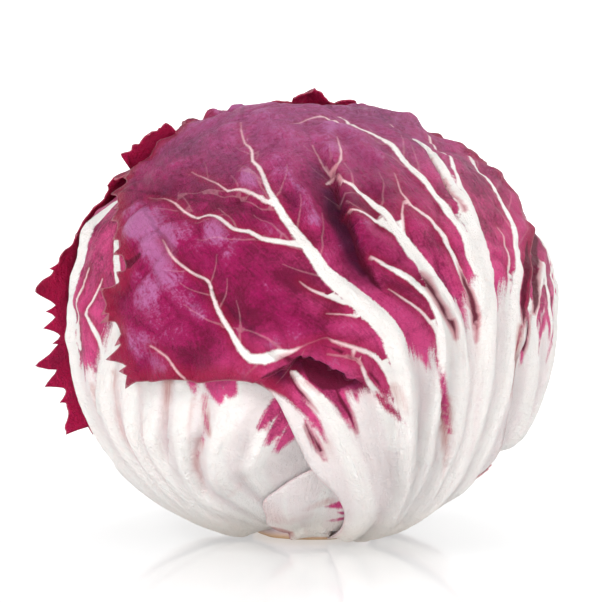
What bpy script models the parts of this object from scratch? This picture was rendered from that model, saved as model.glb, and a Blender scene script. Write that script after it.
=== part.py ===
"""A round radicchio head: a cut stem, the packed heart, and the loose leaves wrapped round it.

Every leaf is a thin closed blade on the head's round surface. Places on that surface are given as
(bearing, latitude) in degrees: bearing 0 faces the viewer at -Y and 90 is the head's right side at +X;
latitude -90 is the stem below and 90 the crown. Lengths on the surface are in millimetres.
"""

import math
import random

import bmesh
import bpy
import numpy as np
from mathutils import Vector
from mathutils.geometry import delaunay_2d_cdt

MM = 0.001

# The head's form
HEAD_RADIUS = 60.0
CROWN_RISE = 49.5  # from the widest level up to the crown
BASE_DROP = 56.0  # from the widest level down to the underside
WIDEST_LEVEL = 55.5  # above the surface that the head rests on
BASE_FULLNESS = 2.25  # 2 is an ellipse; more is fuller towards the stem

# The cut stem that the head rests on
STEM_RADIUS = 15.0
STEM_NECK_RADIUS = 13.2
STEM_NECK_HEIGHT = 3.2
STEM_TOP_RADIUS = 11.0
STEM_HEIGHT = 17.0
STEM_CHAMFER = 0.8
STEM_RINGS = 40

# The leaves
BLADE = 0.9  # thickness of a leaf between its ribs
LAYER = 2.3  # how far a leaf sinks under each leaf that covers it
SINK_WIDTH = 13.0  # over which it sinks, outside the covering leaf's margin
LEAF_FOOT = -76.6  # latitude where a leaf joins the stem
FOOT_STEP = 9.0  # degrees between the points of a leaf's foot
FAN_POINTS = 7  # of each rib in a fan
FAN_SHORTENING = 34.0  # degrees of latitude by which a fan's outer ribs end short
MESH_STEP = 8.2
MESH_CLEAR = 5.0  # between a point of the filling grid and any other
RIM_STEP = 9.0
RIM_TOLERANCE = 0.55
RIM_CLEAR = 2.0  # between the margin and the points inside it
SHORTEST_EDGE = 1.5
COVER_TOLERANCE = 0.3  # for the margin that leaves underneath are measured against
COVER_START = 1.5  # outside the covering leaf's margin
RIB_STEP = 7.0
RIB_SHOULDER = 1.3  # from a rib's side down to the blade
RIB_RISE = 0.5  # of a rib's half-width
RIB_TALLEST = 1.6
RIB_CLEAR = 1.7  # between points of the mesh near a rib
CREASE_WIDTH = 6.0
LIFT_STEP = 3.0
LIFT_FADE = 0.17  # share of a lifted edge over which it starts and ends
WAVE = 0.9  # how far a free margin lifts at most between its low places
WAVE_PITCH = 19.0
WAVE_REACH = 9.0  # how far in from the margin the waves fade out
MARGIN_STEP = 0.6  # between the points of a leaf's margin before it is thinned
TOOTH_PITCH = 6.0
TOOTH_PITCH_SPREAD = (0.55, 1.5)
TOOTH_HEIGHT = 2.4
TOOTH_HEIGHT_SPREAD = (0.3, 1.25)
TOOTH_LEAN = (0.25, 0.7)  # where along its width a tooth has its tip
TOOTH_HOLLOW = 1.5  # 1 has straight sides; more is scooped between the tips
TOOTH_SEED = 11

# The heart of packed inner leaves
HEART_FLOOR = STEM_HEIGHT + 0.4
HEART_BANDS = 16
HEART_SEGMENTS = 36
HEART_LOWEST = -58.0  # latitude
HEART_HIGHEST = 84.0
HEART_LEAVES = 5
HEART_LEAN = 0.012  # turns of a heart leaf's edge for each degree of latitude
HEART_STEP = 1.3
HEART_RIBS = 15
HEART_RIB_RISE = 0.35
HEART_CLEAR = 1.55  # under the leaves, apart from the steps and ribs


def direction(bearing, latitude):
    """The unit vector from the head's middle at a bearing and a latitude in degrees."""
    b = np.radians(bearing)
    lat = np.radians(latitude)
    return np.stack([np.cos(lat) * np.sin(b), -np.cos(lat) * np.cos(b), np.sin(lat)], -1)


def head_point(d):
    """The point of the head's surface in unit direction d, in millimetres."""
    across = np.hypot(d[:, 0], d[:, 1])
    up = d[:, 2] >= 0
    power = np.where(up, 1.0, 2.0 / BASE_FULLNESS)
    radius = HEAD_RADIUS * across**power
    drop = np.where(up, CROWN_RISE, BASE_DROP) * np.abs(d[:, 2]) ** power
    flat = d[:, :2] / np.maximum(across, 1e-9)[:, None]
    height = WIDEST_LEVEL + np.where(up, drop, -drop)
    return np.column_stack([flat * radius[:, None], height])


def head_normal(d):
    """The outward normal of the head's surface in unit direction d."""
    p = head_point(d)
    p[:, 2] -= WIDEST_LEVEL
    radius = np.hypot(p[:, 0], p[:, 1])
    up = p[:, 2] >= 0
    power = np.where(up, 2.0, BASE_FULLNESS) - 1.0
    rise = np.where(up, CROWN_RISE, BASE_DROP)
    out = (radius / HEAD_RADIUS) ** power / HEAD_RADIUS
    along = np.sign(p[:, 2]) * (np.abs(p[:, 2]) / rise) ** power / rise
    n = np.column_stack([p[:, :2] / np.maximum(radius, 1e-9)[:, None] * out[:, None], along])
    return n / np.linalg.norm(n, axis=1)[:, None]


class Chart:
    """A flat map of the head, in millimetres, that keeps distance and heading from one direction."""

    def __init__(self, bearing, latitude):
        self.middle = direction(bearing, latitude)
        self.right = direction(bearing + 90.0, 0.0)
        self.up = np.cross(self.right, -self.middle)
        self.up /= np.linalg.norm(self.up)

    def flat(self, d):
        angle = np.arccos(np.clip(d @ self.middle, -1.0, 1.0))
        x, y = d @ self.right, d @ self.up
        scale = HEAD_RADIUS * angle / np.maximum(np.hypot(x, y), 1e-9)
        return np.column_stack([x * scale, y * scale])

    def round(self, xy):
        reach = np.hypot(xy[:, 0], xy[:, 1])
        angle = reach / HEAD_RADIUS
        turn = xy / np.maximum(reach, 1e-9)[:, None]
        side = turn[:, :1] * self.right + turn[:, 1:] * self.up
        return np.cos(angle)[:, None] * self.middle + np.sin(angle)[:, None] * side


def smooth_path(points, step, closed=False):
    """A curve through the points (Catmull-Rom), as points about one step apart."""
    points = np.asarray(points, float)
    last = len(points) if closed else len(points) - 1
    made = []
    for i in range(last):
        if closed:
            a, b, c, d = (points[(i + k) % len(points)] for k in (-1, 0, 1, 2))
        else:
            a, b, c, d = (points[min(max(i + k, 0), last)] for k in (-1, 0, 1, 2))
        count = max(1, round(float(np.linalg.norm((c - b)[:2])) / step))
        for t in np.arange(count) / count:
            square = 2 * a - 5 * b + 4 * c - d
            cube = 3 * b - 3 * c + d - a
            made.append(0.5 * (2 * b + (c - a) * t + square * t**2 + cube * t**3))
    if not closed:
        made.append(points[-1])
    return np.array(made)


def distance_to_path(d, path, closed=False):
    """Distance from directions d to a path of directions, and the place on the path from 0 to 1."""
    starts = path if closed else path[:-1]
    ends = np.roll(path, -1, axis=0) if closed else path[1:]
    best = np.full(len(d), 1e9)
    place = np.zeros(len(d))
    for i, (a, b) in enumerate(zip(starts, ends, strict=True)):
        run = b - a
        t = np.clip((d - a) @ run / max(float(run @ run), 1e-12), 0.0, 1.0)
        off = np.linalg.norm(d - a - t[:, None] * run, axis=1) * HEAD_RADIUS
        nearer = off < best
        best = np.where(nearer, off, best)
        place = np.where(nearer, (i + t) / len(starts), place)
    return best, place


def inside(xy, outline):
    """Whether each flat point lies inside the closed outline."""
    found = np.zeros(len(xy), bool)
    for a, b in zip(outline, np.roll(outline, -1, axis=0), strict=True):
        crosses = (a[1] > xy[:, 1]) != (b[1] > xy[:, 1])
        rise = b[1] - a[1] if abs(b[1] - a[1]) > 1e-12 else 1e-12
        found ^= crosses & (xy[:, 0] < (b[0] - a[0]) * (xy[:, 1] - a[1]) / rise + a[0])
    return found


def eased(x):
    x = np.clip(x, 0.0, 1.0)
    return x * x * (3.0 - 2.0 * x)


def thinned(outline, tolerance, longest):
    """The closed outline without the points that lie within the tolerance of a straight run."""
    kept = [0]
    while kept[-1] < len(outline) - 1:
        start = kept[-1]
        far = start + 1
        while far + 1 < len(outline) and np.linalg.norm(outline[far + 1] - outline[start]) < longest:
            run = outline[far + 1] - outline[start]
            between = outline[start + 1 : far + 1] - outline[start]
            off = np.abs(run[0] * between[:, 1] - run[1] * between[:, 0]) / np.linalg.norm(run)
            if off.max() > tolerance:
                break
            far += 1
        kept.append(far)
    if np.linalg.norm(outline[kept[-1]] - outline[0]) < SHORTEST_EDGE:
        kept.pop()
    return outline[kept]


def surface_path(chart, corners, step):
    """A smooth path on the head through (bearing, latitude, ...) corners, in degrees and on the chart."""
    corners = np.array(corners, float)
    flat = np.column_stack([chart.flat(direction(corners[:, 0], corners[:, 1])), corners[:, 2:]])
    flat = smooth_path(flat, step)
    d = chart.round(flat[:, :2])
    bearing = np.degrees(np.arctan2(d[:, 0], -d[:, 1]))
    latitude = np.degrees(np.arcsin(np.clip(d[:, 2], -1.0, 1.0)))
    return np.column_stack([bearing, latitude, flat[:, 2:]]), flat


# Each rib is a list of (bearing, latitude, half-width in millimetres), from the stem outwards.
WRAP_RIBS = (
    ((34, -72, 3.4), (30, -55, 3.2), (27, -40, 3.0), (24, -28, 3.0), (22, -17, 2.8), (20, -7, 2.7),
     (17, 1, 2.6), (13, 6.5, 2.6), (8, 12, 2.4), (3, 17, 1.8), (0, 22, 1.6), (-8, 34, 1.3),
     (-17, 47, 1.0), (-30, 58, 0.7)),
    ((40, -72, 3.0), (38, -50, 2.8), (36, -30, 2.8), (35, -12, 2.6), (33, 3, 2.4), (28, 14, 2.2),
     (22, 26, 1.8), (15, 39, 1.0)),
    ((46, -72, 3.4), (44, -50, 3.4), (42, -25, 3.4), (42, -5, 3.2), (42.5, 8, 3.2), (44, 28, 2.8),
     (46, 42, 2.4), (51, 54, 1.8), (57, 64, 1.2)),
    ((41, 14, 2.2), (39.5, 27, 1.8), (36.5, 41, 1.3), (34.5, 52, 1.0), (31, 62, 0.8)),
    ((53, -72, 3.0), (50, -45, 3.0), (49, -20, 3.0), (50, -3, 2.8), (54, 12, 2.0), (59, 24, 1.5),
     (66, 38, 1.3), (76, 47, 1.0)),
    ((18, -66, 2.6), (17, -50, 2.6), (14, -36, 2.4), (9, -24, 2.2), (4, -14, 2.0), (-2, -7, 1.6)),
)
LEFT_RIBS = (
    ((-52, -72, 3.0), (-62, -52, 4.0), (-69, -32, 4.5), (-72, -10, 4.5), (-72, 6, 4.0), (-75, 25, 2.4),
     (-79, 38, 1.4)),
    ((-40, -72, 2.8), (-47, -50, 3.2), (-50, -30, 3.0), (-51, -12, 2.4), (-52, 2, 1.6), (-56, 15, 1.2),
     (-61, 25, 0.8)),
    ((-29, -72, 2.6), (-35, -50, 3.0), (-39, -32, 3.0), (-41, -12, 2.6), (-42, 4, 1.4)),
    ((-19, -72, 2.4), (-25, -52, 2.8), (-29, -32, 3.0), (-31, -12, 2.6), (-31, 2, 1.6)),
    ((-10, -68, 2.2), (-15, -50, 2.6), (-19, -30, 2.8), (-20, -12, 2.4)),
    ((-66, -70, 2.8), (-80, -48, 3.0), (-88, -26, 3.0), (-92, 0, 2.4), (-93, 25, 1.6)),
)


def foot(first, last):
    """Points along the ring where a leaf joins the stem, from one bearing to the other."""
    count = max(2, round(abs(last - first) / FOOT_STEP) + 1)
    return tuple((float(b), LEAF_FOOT) for b in np.linspace(first, last, count))


def fan_of_ribs(bearing, spread, count, top, width, drift=0.0):
    """Ribs that rise from the stem and open out like a fan round the leaf's middle bearing.

    The middle rib is the broadest and reaches the top latitude; the outer ones end lower.
    """
    ribs = []
    for side in np.linspace(-1.0, 1.0, count):
        end = top - FAN_SHORTENING * abs(side) ** 1.6
        latitudes = np.linspace(LEAF_FOOT + 5.0, end, FAN_POINTS)
        opened = np.sin(np.linspace(0.35, 1.5, FAN_POINTS))
        bearings = bearing + (drift + side * spread) * opened
        widths = width * (1.7 - 0.7 * abs(side)) * np.linspace(1.15, 0.35, FAN_POINTS)
        ribs.append(tuple(zip(bearings, latitudes, widths, strict=True)))
    return tuple(ribs)


# Folds pressed into a leaf, as (bearing, latitude) points and a depth in millimetres
WRAP_CREASE = (((-2, 61), (3, 50), (8, 42), (9, 33), (13, 23), (16, 12)), 1.8)

# Stretches of margin that lift off the head: (path, lift in mm, how far in from the margin it begins)
FLAP_LIP = (
    ((-12, -8), (-20, -8.5), (-36, -9.5), (-48, -12.5), (-51, -2), (-50, 12), (-52, 22)),
    2.2,
    15.0,
)
FLARED_EDGE = (((-90, -37), (-88, -20), (-89, 0), (-89, 18), (-88, 27)), 9.0, 13.0)
CURLED_EDGE = (((-87, 39), (-86, 44), (-85, 49)), 5.5, 7.5)
CROWN_TIP = (((165, 82), (180, 84), (-165, 80)), 3.0, 12.0)
BASE_TIP = (((-17, -61), (-17, -54)), 0.5, 6.0)

# Each leaf: its middle, its outline, the toothed stretches of it (from point, to point), its ribs,
# lifted edges and folds, and the leaves that lie over it
LEAVES = {
    "leaf_left": {
        "middle": (-62, -5),
        "outline": ((5, -66), (8, -55), (10, -40), (10, -20), (9, -5), (5, 8), (0, 22), (-8, 38),
                    (-25, 54), (-55, 65), (-95, 67), (-120, 60), (-128, 45), (-130, 20), (-130, 0),
                    (-128, -25), (-125, -45), (-122, -62), *foot(-118, 3)),
        "toothed": ((7, 15),),
        "ribs": LEFT_RIBS,
        "lifts": (),
        "folds": (),
        "under": ("leaf_back_left", "leaf_base_front", "leaf_wrap", "leaf_back"),
    },
    "leaf_right": {
        "middle": (95, -5),
        "outline": ((33, -60), (31, -40), (31, -15), (33, 10), (40, 35), (56, 50), (85, 61),
                    (120, 66), (141, 62), (152, 45), (155, 20), (155, -10), (152, -40), (148, -60),
                    *foot(145, 36)),
        "toothed": ((5, 11),),
        "ribs": fan_of_ribs(92, 46, 7, 52, 2.0),
        "lifts": (),
        "folds": (),
        "under": ("leaf_wrap", "leaf_back", "leaf_base_right"),
    },
    "leaf_back_left": {
        "middle": (-128, 0),
        "outline": ((-168, -55), (-170, -30), (-170, 0), (-166, 30), (-151, 56), (-130, 67),
                    (-106, 66), (-91, 62), (-84, 56), (-84, 49), (-86, 40), (-88, 27), (-89, 10),
                    (-89, -10), (-89, -28), (-91, -42), (-95, -55), (-99, -68), *foot(-102, -163)),
        "toothed": ((2, 16),),
        "ribs": fan_of_ribs(-128, 32, 6, 56, 1.9, drift=-3.0),
        "lifts": (FLARED_EDGE, CURLED_EDGE),
        "folds": (),
        "under": ("leaf_wrap", "leaf_back"),
    },
    "leaf_base_front": {
        "middle": (2, -56),
        "outline": ((-15, -69), (-16.5, -62), (-17, -54), (-15, -47), (-9, -41), (-1, -36), (8, -32),
                    (16, -35), (21, -45), (23, -60), *foot(23, -13)),
        "toothed": (),
        "ribs": (((0, -73, 1.8), (0, -62, 1.8), (1, -50, 1.4), (3, -40, 0.8)),),
        "lifts": (BASE_TIP,),
        "folds": (),
        "under": ("leaf_wrap",),
    },
    "leaf_wrap": {
        "middle": (14, 22),
        "outline": ((12, -66), (12, -58), (10, -48), (6, -40), (0, -32), (-3, -25), (-6, -17),
                    (-9, -11), (-14, -8), (-20, -8.5), (-28, -9), (-36, -9.5), (-42, -10.5),
                    (-47.5, -12.5), (-46, -7), (-48, -2), (-50, 4), (-49, 10), (-47, 15), (-50, 20),
                    (-56, 26), (-63, 31), (-72, 36), (-77, 43), (-79, 50), (-81, 56), (-91, 60),
                    (-112, 63), (-135, 63), (-160, 65), (175, 66), (150, 64), (128, 61), (108, 57),
                    (92, 50), (84, 42), (78, 34), (70, 25), (62, 17), (58, 9), (56, 0), (53, -8),
                    (54, -18), (57, -30), (60, -42), (62, -55), (62, -66), *foot(60, 13)),
        "toothed": ((13, 37),),
        "ribs": WRAP_RIBS,
        "lifts": (FLAP_LIP,),
        "folds": (WRAP_CREASE,),
        "under": ("leaf_back", "leaf_base_right"),
    },
    "leaf_base_right": {
        "middle": (88, -58),
        "outline": ((58, -66), (58, -56), (60, -47), (65, -41), (74, -38), (86, -38), (99, -40),
                    (111, -47), (117, -58), (118, -68), *foot(116, 60)),
        "toothed": ((2, 8),),
        "ribs": (((74, -72, 1.8), (72, -60, 1.6), (70, -48, 1.0)),
                 ((88, -72, 2.0), (88, -58, 1.8), (88, -45, 1.0)),
                 ((102, -72, 1.8), (104, -60, 1.6), (106, -50, 1.0))),
        "lifts": (),
        "folds": (),
        "under": (),
    },
    "leaf_back": {
        "middle": (176, 2),
        "outline": ((124, -60), (122, -40), (124, -15), (128, 10), (132, 35), (138, 55), (152, 73),
                    (180, 84), (-152, 76), (-140, 60), (-134, 40), (-130, 15), (-130, -15), (-133, -40),
                    (-136, -60), *foot(-138, -232)),
        "toothed": ((0, 14),),
        "ribs": fan_of_ribs(175, 38, 7, 72, 2.1, drift=2.0),
        "lifts": (CROWN_TIP,),
        "folds": (),
        "under": (),
    },
}

COLOURS = {
    "stem": ((0.62, 0.50, 0.36), 0.75),
    "heart": ((0.52, 0.10, 0.22), 0.45),
    "leaf": ((0.46, 0.05, 0.16), 0.38),
}


def material(name):
    colour, roughness = COLOURS[name]
    made = bpy.data.materials.new(name)
    made.use_nodes = True
    shader = made.node_tree.nodes["Principled BSDF"]
    shader.inputs["Base Color"].default_value = (*colour, 1.0)
    shader.inputs["Roughness"].default_value = roughness
    shader.inputs["Metallic"].default_value = 0.0
    return made


def add_object(name, points_mm, faces, finish):
    mesh = bpy.data.meshes.new(name)
    points = [tuple(float(c) * MM for c in p) for p in points_mm]
    mesh.from_pydata(points, [], [tuple(map(int, face)) for face in faces])
    mesh.validate()
    mesh.shade_smooth()
    mesh.set_sharp_from_angle(angle=math.radians(50.0))
    mesh.materials.append(finish)
    made = bpy.data.objects.new(name, mesh)
    bpy.context.collection.objects.link(made)
    return made


def leaf_outline(leaf, draw):
    """The leaf's margin as flat points one margin step apart, with its cut teeth."""
    chart = leaf["chart"]
    corners = chart.flat(direction(*np.array(leaf["outline"], float).T))
    line = smooth_path(corners, MARGIN_STEP, closed=True)
    at_corner = [int(np.argmin(np.linalg.norm(line - c, axis=1))) for c in corners]
    run = np.roll(line, -1, axis=0) - np.roll(line, 1, axis=0)
    ahead = np.roll(line, -1, axis=0)
    out = np.column_stack([run[:, 1], -run[:, 0]]) / np.linalg.norm(run, axis=1)[:, None]
    out *= np.sign(np.sum(line[:, 0] * ahead[:, 1] - ahead[:, 0] * line[:, 1]))
    steps = np.arange(len(line))
    lift = np.zeros(len(line))
    for first, last in leaf["toothed"]:
        place = float(at_corner[first])
        while place < at_corner[last]:
            width = TOOTH_PITCH * draw.uniform(*TOOTH_PITCH_SPREAD) / MARGIN_STEP
            height = TOOTH_HEIGHT * draw.uniform(*TOOTH_HEIGHT_SPREAD)
            lean = draw.uniform(*TOOTH_LEAN)
            x = (steps - place) / width
            rising = np.where(x < lean, x / lean, (1.0 - x) / (1.0 - lean))
            lift = np.maximum(lift, height * np.clip(rising, 0.0, 1.0) ** TOOTH_HOLLOW)
            place += width
    return line + out * lift[:, None]


def covered(d, name):
    """How far directions d lie under that leaf: 0 well outside its margin, 1 from the margin inwards."""
    leaf = LEAVES[name]
    off, _ = distance_to_path(d, leaf["margin_directions"], closed=True)
    off = np.where(inside(leaf["chart"].flat(d), leaf["margin"]), -off, off)
    return eased(1.0 - (off - COVER_START) / SINK_WIDTH)


def leaf_heights(leaf, d):
    """How far the leaf's outer and inner faces stand off the head's surface, in millimetres.

    It sinks where other leaves cover it. Where it is free its margin waves, and its ribs stand out.
    """
    sunk = sum((covered(d, name) for name in leaf["under"]), np.zeros(len(d)))
    height = -LAYER * sunk
    free = eased(1.0 - 1.5 * sunk)
    off, place = distance_to_path(d, leaf["margin_directions"], closed=True)
    waves = max(2, round(leaf["margin_length"] / WAVE_PITCH))
    uneven = waves * place + np.sin(6.0 * math.pi * place) / 3.0
    swell = 0.5 - 0.5 * np.cos(2.0 * math.pi * uneven)
    height += WAVE * swell * eased(1.0 - off / WAVE_REACH) * free * eased((d[:, 2] + 0.85) / 0.4)
    for path, lift, reach in leaf["lifts"]:
        off, place = distance_to_path(d, direction(*smooth_path(path, LIFT_STEP).T))
        ends = eased(place / LIFT_FADE + 0.35) * eased((1.0 - place) / LIFT_FADE + 0.35)
        height += lift * eased(1.0 - off / reach) * ends
    for path, depth in leaf["creases"]:
        off, place = distance_to_path(d, direction(*path[:, :2].T))
        height -= depth * eased(1.0 - off / CREASE_WIDTH) * np.sin(math.pi * place) ** 0.5
    rise = np.zeros(len(d))
    for path, _ in leaf["rib_paths"]:
        off, place = distance_to_path(d, direction(*path[:, :2].T))
        half = np.interp(place, np.linspace(0.0, 1.0, len(path)), path[:, 2])
        crest = np.minimum(RIB_RISE * half, RIB_TALLEST)
        rise = np.maximum(rise, crest * eased(1.0 - off / (half + RIB_SHOULDER)))
    return height + rise * free, height - BLADE


def leaf_points(leaf):
    """The leaf's flat mesh points: its margin, ribs and creases with their edges, and a filling grid."""
    chart = leaf["chart"]
    rim = thinned(leaf["margin"], RIM_TOLERANCE, RIM_STEP)
    rim_d = chart.round(rim)
    placed = list(rim)
    edges = [(i, (i + 1) % len(rim)) for i in range(len(rim))]

    def place(group, clear, linked=False):
        ok = inside(group, rim)
        off, _ = distance_to_path(chart.round(group), rim_d, closed=True)
        before = None
        for p, usable in zip(group, ok & (off > RIM_CLEAR), strict=True):
            if usable and min(np.hypot(*(q - p)) for q in placed) > clear:
                placed.append(p)
                if linked and before is not None:
                    edges.append((before, len(placed) - 1))
                before = len(placed) - 1
            else:
                before = None

    lines = [flat for _, flat in leaf["rib_paths"]]
    for flat in lines:
        place(flat[:, :2], RIB_CLEAR, linked=True)
    for path, _ in leaf["creases"]:
        place(chart.flat(direction(*path[:, :2].T)), RIB_CLEAR, linked=True)
    for flat in lines:
        run = np.gradient(flat[:, :2], axis=0)
        across = np.column_stack([-run[:, 1], run[:, 0]]) / np.linalg.norm(run, axis=1)[:, None]
        shoulder = (flat[:, 2] + RIB_SHOULDER)[:, None]
        for side in (1.0, -1.0):
            place(flat[:, :2] + side * across * shoulder, RIB_CLEAR)
    low, high = rim.min(axis=0), rim.max(axis=0)
    rows = np.arange(low[1], high[1], MESH_STEP * 0.866)
    grid = [
        (x, y)
        for j, y in enumerate(rows)
        for x in np.arange(low[0] + MESH_STEP * 0.5 * (j % 2), high[0], MESH_STEP)
    ]
    place(np.array(grid), MESH_CLEAR)
    return placed, edges


def make_leaf(name, finish):
    """One leaf: a blade with solid ribs on its outer face, split alike on both faces and closed round."""
    leaf = LEAVES[name]
    points, edges = leaf_points(leaf)
    flat, _, faces, *_ = delaunay_2d_cdt([Vector(p) for p in points], edges, [], 1, 1e-6)
    d = leaf["chart"].round(np.array([tuple(v) for v in flat]))
    outer, inner = leaf_heights(leaf, d)
    normal = head_normal(d)
    surface = head_point(d)
    points_mm = np.vstack([surface + normal * outer[:, None], surface + normal * inner[:, None]])
    count = len(flat)
    used = {tuple(edge) for a, b, c in faces for edge in ((a, b), (b, c), (c, a))}
    rim_edges = [(a, b) for a, b in used if (b, a) not in used]
    solid = [tuple(f) for f in faces]
    solid += [(c + count, b + count, a + count) for a, b, c in faces]
    for a, b in sorted(rim_edges):
        solid += [(b, a, a + count), (b, a + count, b + count)]
    face_out(add_object(name, points_mm, solid, finish))


def face_out(obj):
    """Turns the faces of a closed mesh outwards."""
    work = bmesh.new()
    work.from_mesh(obj.data)
    bmesh.ops.recalc_face_normals(work, faces=work.faces)
    work.to_mesh(obj.data)
    work.free()


def make_stem(finish):
    """The cut stem: a short tapered plug, flat where the knife went through."""
    profile = (
        (STEM_RADIUS - STEM_CHAMFER, 0.0),
        (STEM_RADIUS, STEM_CHAMFER),
        (STEM_NECK_RADIUS, STEM_NECK_HEIGHT),
        (STEM_TOP_RADIUS, STEM_HEIGHT),
    )
    turns = np.radians(np.arange(STEM_RINGS) * 360.0 / STEM_RINGS)
    points = [(r * math.cos(a), r * math.sin(a), z) for r, z in profile for a in turns]
    points += [(0.0, 0.0, 0.0), (0.0, 0.0, STEM_HEIGHT)]
    faces = []
    for i in range(STEM_RINGS):
        j = (i + 1) % STEM_RINGS
        for k in range(len(profile) - 1):
            a, b = k * STEM_RINGS, (k + 1) * STEM_RINGS
            faces.append((a + i, a + j, b + j, b + i))
        top = (len(profile) - 1) * STEM_RINGS
        faces.append((len(points) - 2, j, i))
        faces.append((len(points) - 1, top + i, top + j))
    made = add_object("stem", points, faces, finish)
    face_out(made)
    return made


def heart_relief(d):
    """The heart's overlapping inner leaves, as steps that run up from the stem and over the crown."""
    bearing = np.degrees(np.arctan2(d[:, 0], -d[:, 1]))
    latitude = np.degrees(np.arcsin(np.clip(d[:, 2], -1.0, 1.0)))
    turn = bearing / 360.0 * HEART_LEAVES + HEART_LEAN * (latitude + 90.0)
    share = turn - np.floor(turn)
    side = np.minimum(share, 1.0 - share)
    fold = np.where(share < 0.5, 1.0, eased(side * 5.0)) * HEART_STEP * eased((latitude + 70.0) / 60.0)
    ribs = HEART_RIB_RISE * np.cos(np.radians(bearing * HEART_RIBS)) * eased((20.0 - latitude) / 70.0)
    return fold - HEART_STEP + ribs


def make_heart(finish):
    """The packed inner leaves: a closed ball inside the wrapping leaves, cut flat over the stem."""
    latitudes = np.linspace(HEART_LOWEST, HEART_HIGHEST, HEART_BANDS)
    bearings = np.arange(HEART_SEGMENTS) * 360.0 / HEART_SEGMENTS
    d = direction(np.tile(bearings, HEART_BANDS), np.repeat(latitudes, HEART_SEGMENTS))
    d = np.vstack([d, [[0.0, 0.0, 1.0]]])
    sunk = sum(covered(d, name) for name in LEAVES)
    inset = -LAYER * sunk - HEART_CLEAR
    points = head_point(d) + head_normal(d) * (inset + heart_relief(d))[:, None]
    points[:HEART_SEGMENTS, 2] = HEART_FLOOR
    points[:, 2] = np.maximum(points[:, 2], HEART_FLOOR)
    points = np.vstack([points, [[0.0, 0.0, HEART_FLOOR]]])
    crown, floor = len(points) - 2, len(points) - 1
    faces = []
    for i in range(HEART_SEGMENTS):
        j = (i + 1) % HEART_SEGMENTS
        for k in range(HEART_BANDS - 1):
            a, b = k * HEART_SEGMENTS, (k + 1) * HEART_SEGMENTS
            faces += [(a + i, a + j, b + j), (a + i, b + j, b + i)]
        last = (HEART_BANDS - 1) * HEART_SEGMENTS
        faces.append((last + i, last + j, crown))
        faces.append((floor, j, i))
    made = add_object("heart", points, faces, finish)
    face_out(made)
    return made


def prepare_leaves():
    """Works out each leaf's chart, margin, ribs and creases, for itself and for its neighbours."""
    draw = random.Random(TOOTH_SEED)
    for leaf in LEAVES.values():
        chart = leaf["chart"] = Chart(*leaf["middle"])
        leaf["margin"] = leaf_outline(leaf, draw)
        margin = thinned(leaf["margin"], COVER_TOLERANCE, RIM_STEP)
        leaf["margin_directions"] = chart.round(margin)
        leaf["margin_length"] = float(np.linalg.norm(np.roll(margin, -1, axis=0) - margin, axis=1).sum())
        leaf["rib_paths"] = [surface_path(chart, rib, RIB_STEP) for rib in leaf["ribs"]]
        leaf["creases"] = [
            (surface_path(chart, fold, RIB_STEP)[0], depth) for fold, depth in leaf["folds"]
        ]


def main():
    for obj in list(bpy.data.objects):
        bpy.data.objects.remove(obj)
    prepare_leaves()
    make_stem(material("stem"))
    make_heart(material("heart"))
    leaf_finish = material("leaf")
    for name in LEAVES:
        make_leaf(name, leaf_finish)


main()
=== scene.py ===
"""The looks of a round radicchio head.

The head is dressed leaf by leaf from the outermost inwards, as it would be peeled. Places on its round
surface are (bearing, latitude) in degrees: bearing 0 faces the viewer and 90 is the head's right side;
latitude -90 is the stem and 90 the crown. Lengths are in millimetres until a mesh is made.
"""

import math
import random

import bpy
import numpy as np
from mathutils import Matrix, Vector, kdtree, noise
from mathutils.geometry import delaunay_2d_cdt


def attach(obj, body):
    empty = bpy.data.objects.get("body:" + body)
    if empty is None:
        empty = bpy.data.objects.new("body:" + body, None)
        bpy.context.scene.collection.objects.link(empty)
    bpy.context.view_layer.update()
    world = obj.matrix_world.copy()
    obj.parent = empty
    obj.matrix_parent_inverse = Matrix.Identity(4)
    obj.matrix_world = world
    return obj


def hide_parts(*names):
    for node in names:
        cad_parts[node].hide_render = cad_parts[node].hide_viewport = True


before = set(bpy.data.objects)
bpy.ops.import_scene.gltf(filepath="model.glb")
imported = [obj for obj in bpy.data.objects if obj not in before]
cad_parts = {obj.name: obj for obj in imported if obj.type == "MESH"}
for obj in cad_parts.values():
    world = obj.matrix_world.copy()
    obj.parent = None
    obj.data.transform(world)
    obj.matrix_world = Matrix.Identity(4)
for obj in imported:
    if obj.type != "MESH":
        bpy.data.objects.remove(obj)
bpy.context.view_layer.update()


# The back leaf is the outermost one. It closes the back of the head from the stem to the crown, where its
# tip stands up behind the others. It is a thin blade with fleshy ribs, and grows from the stem by its foot.
MM = 0.001
HEAD_RADIUS = 60.0
CROWN_RISE = 49.5
BASE_DROP = 56.0
WIDEST_LEVEL = 55.5
BASE_FULLNESS = 2.25
LEAF_FOOT = -76.6
FOOT_STEP = 9.0


def direction(bearing, latitude):
    """The unit vector from the head's middle at a bearing and a latitude in degrees."""
    b = np.radians(bearing)
    lat = np.radians(latitude)
    return np.stack([np.cos(lat) * np.sin(b), -np.cos(lat) * np.cos(b), np.sin(lat)], -1)


def head_point(d):
    """The point of the head's plain round form in unit direction d."""
    across = np.hypot(d[:, 0], d[:, 1])
    power = np.where(d[:, 2] >= 0, 1.0, 2.0 / BASE_FULLNESS)
    radius = HEAD_RADIUS * across**power
    drop = np.where(d[:, 2] >= 0, CROWN_RISE, BASE_DROP) * np.abs(d[:, 2]) ** power
    flat = d[:, :2] / np.maximum(across, 1e-9)[:, None]
    return np.column_stack([flat * radius[:, None], WIDEST_LEVEL + np.sign(d[:, 2]) * drop])


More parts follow.
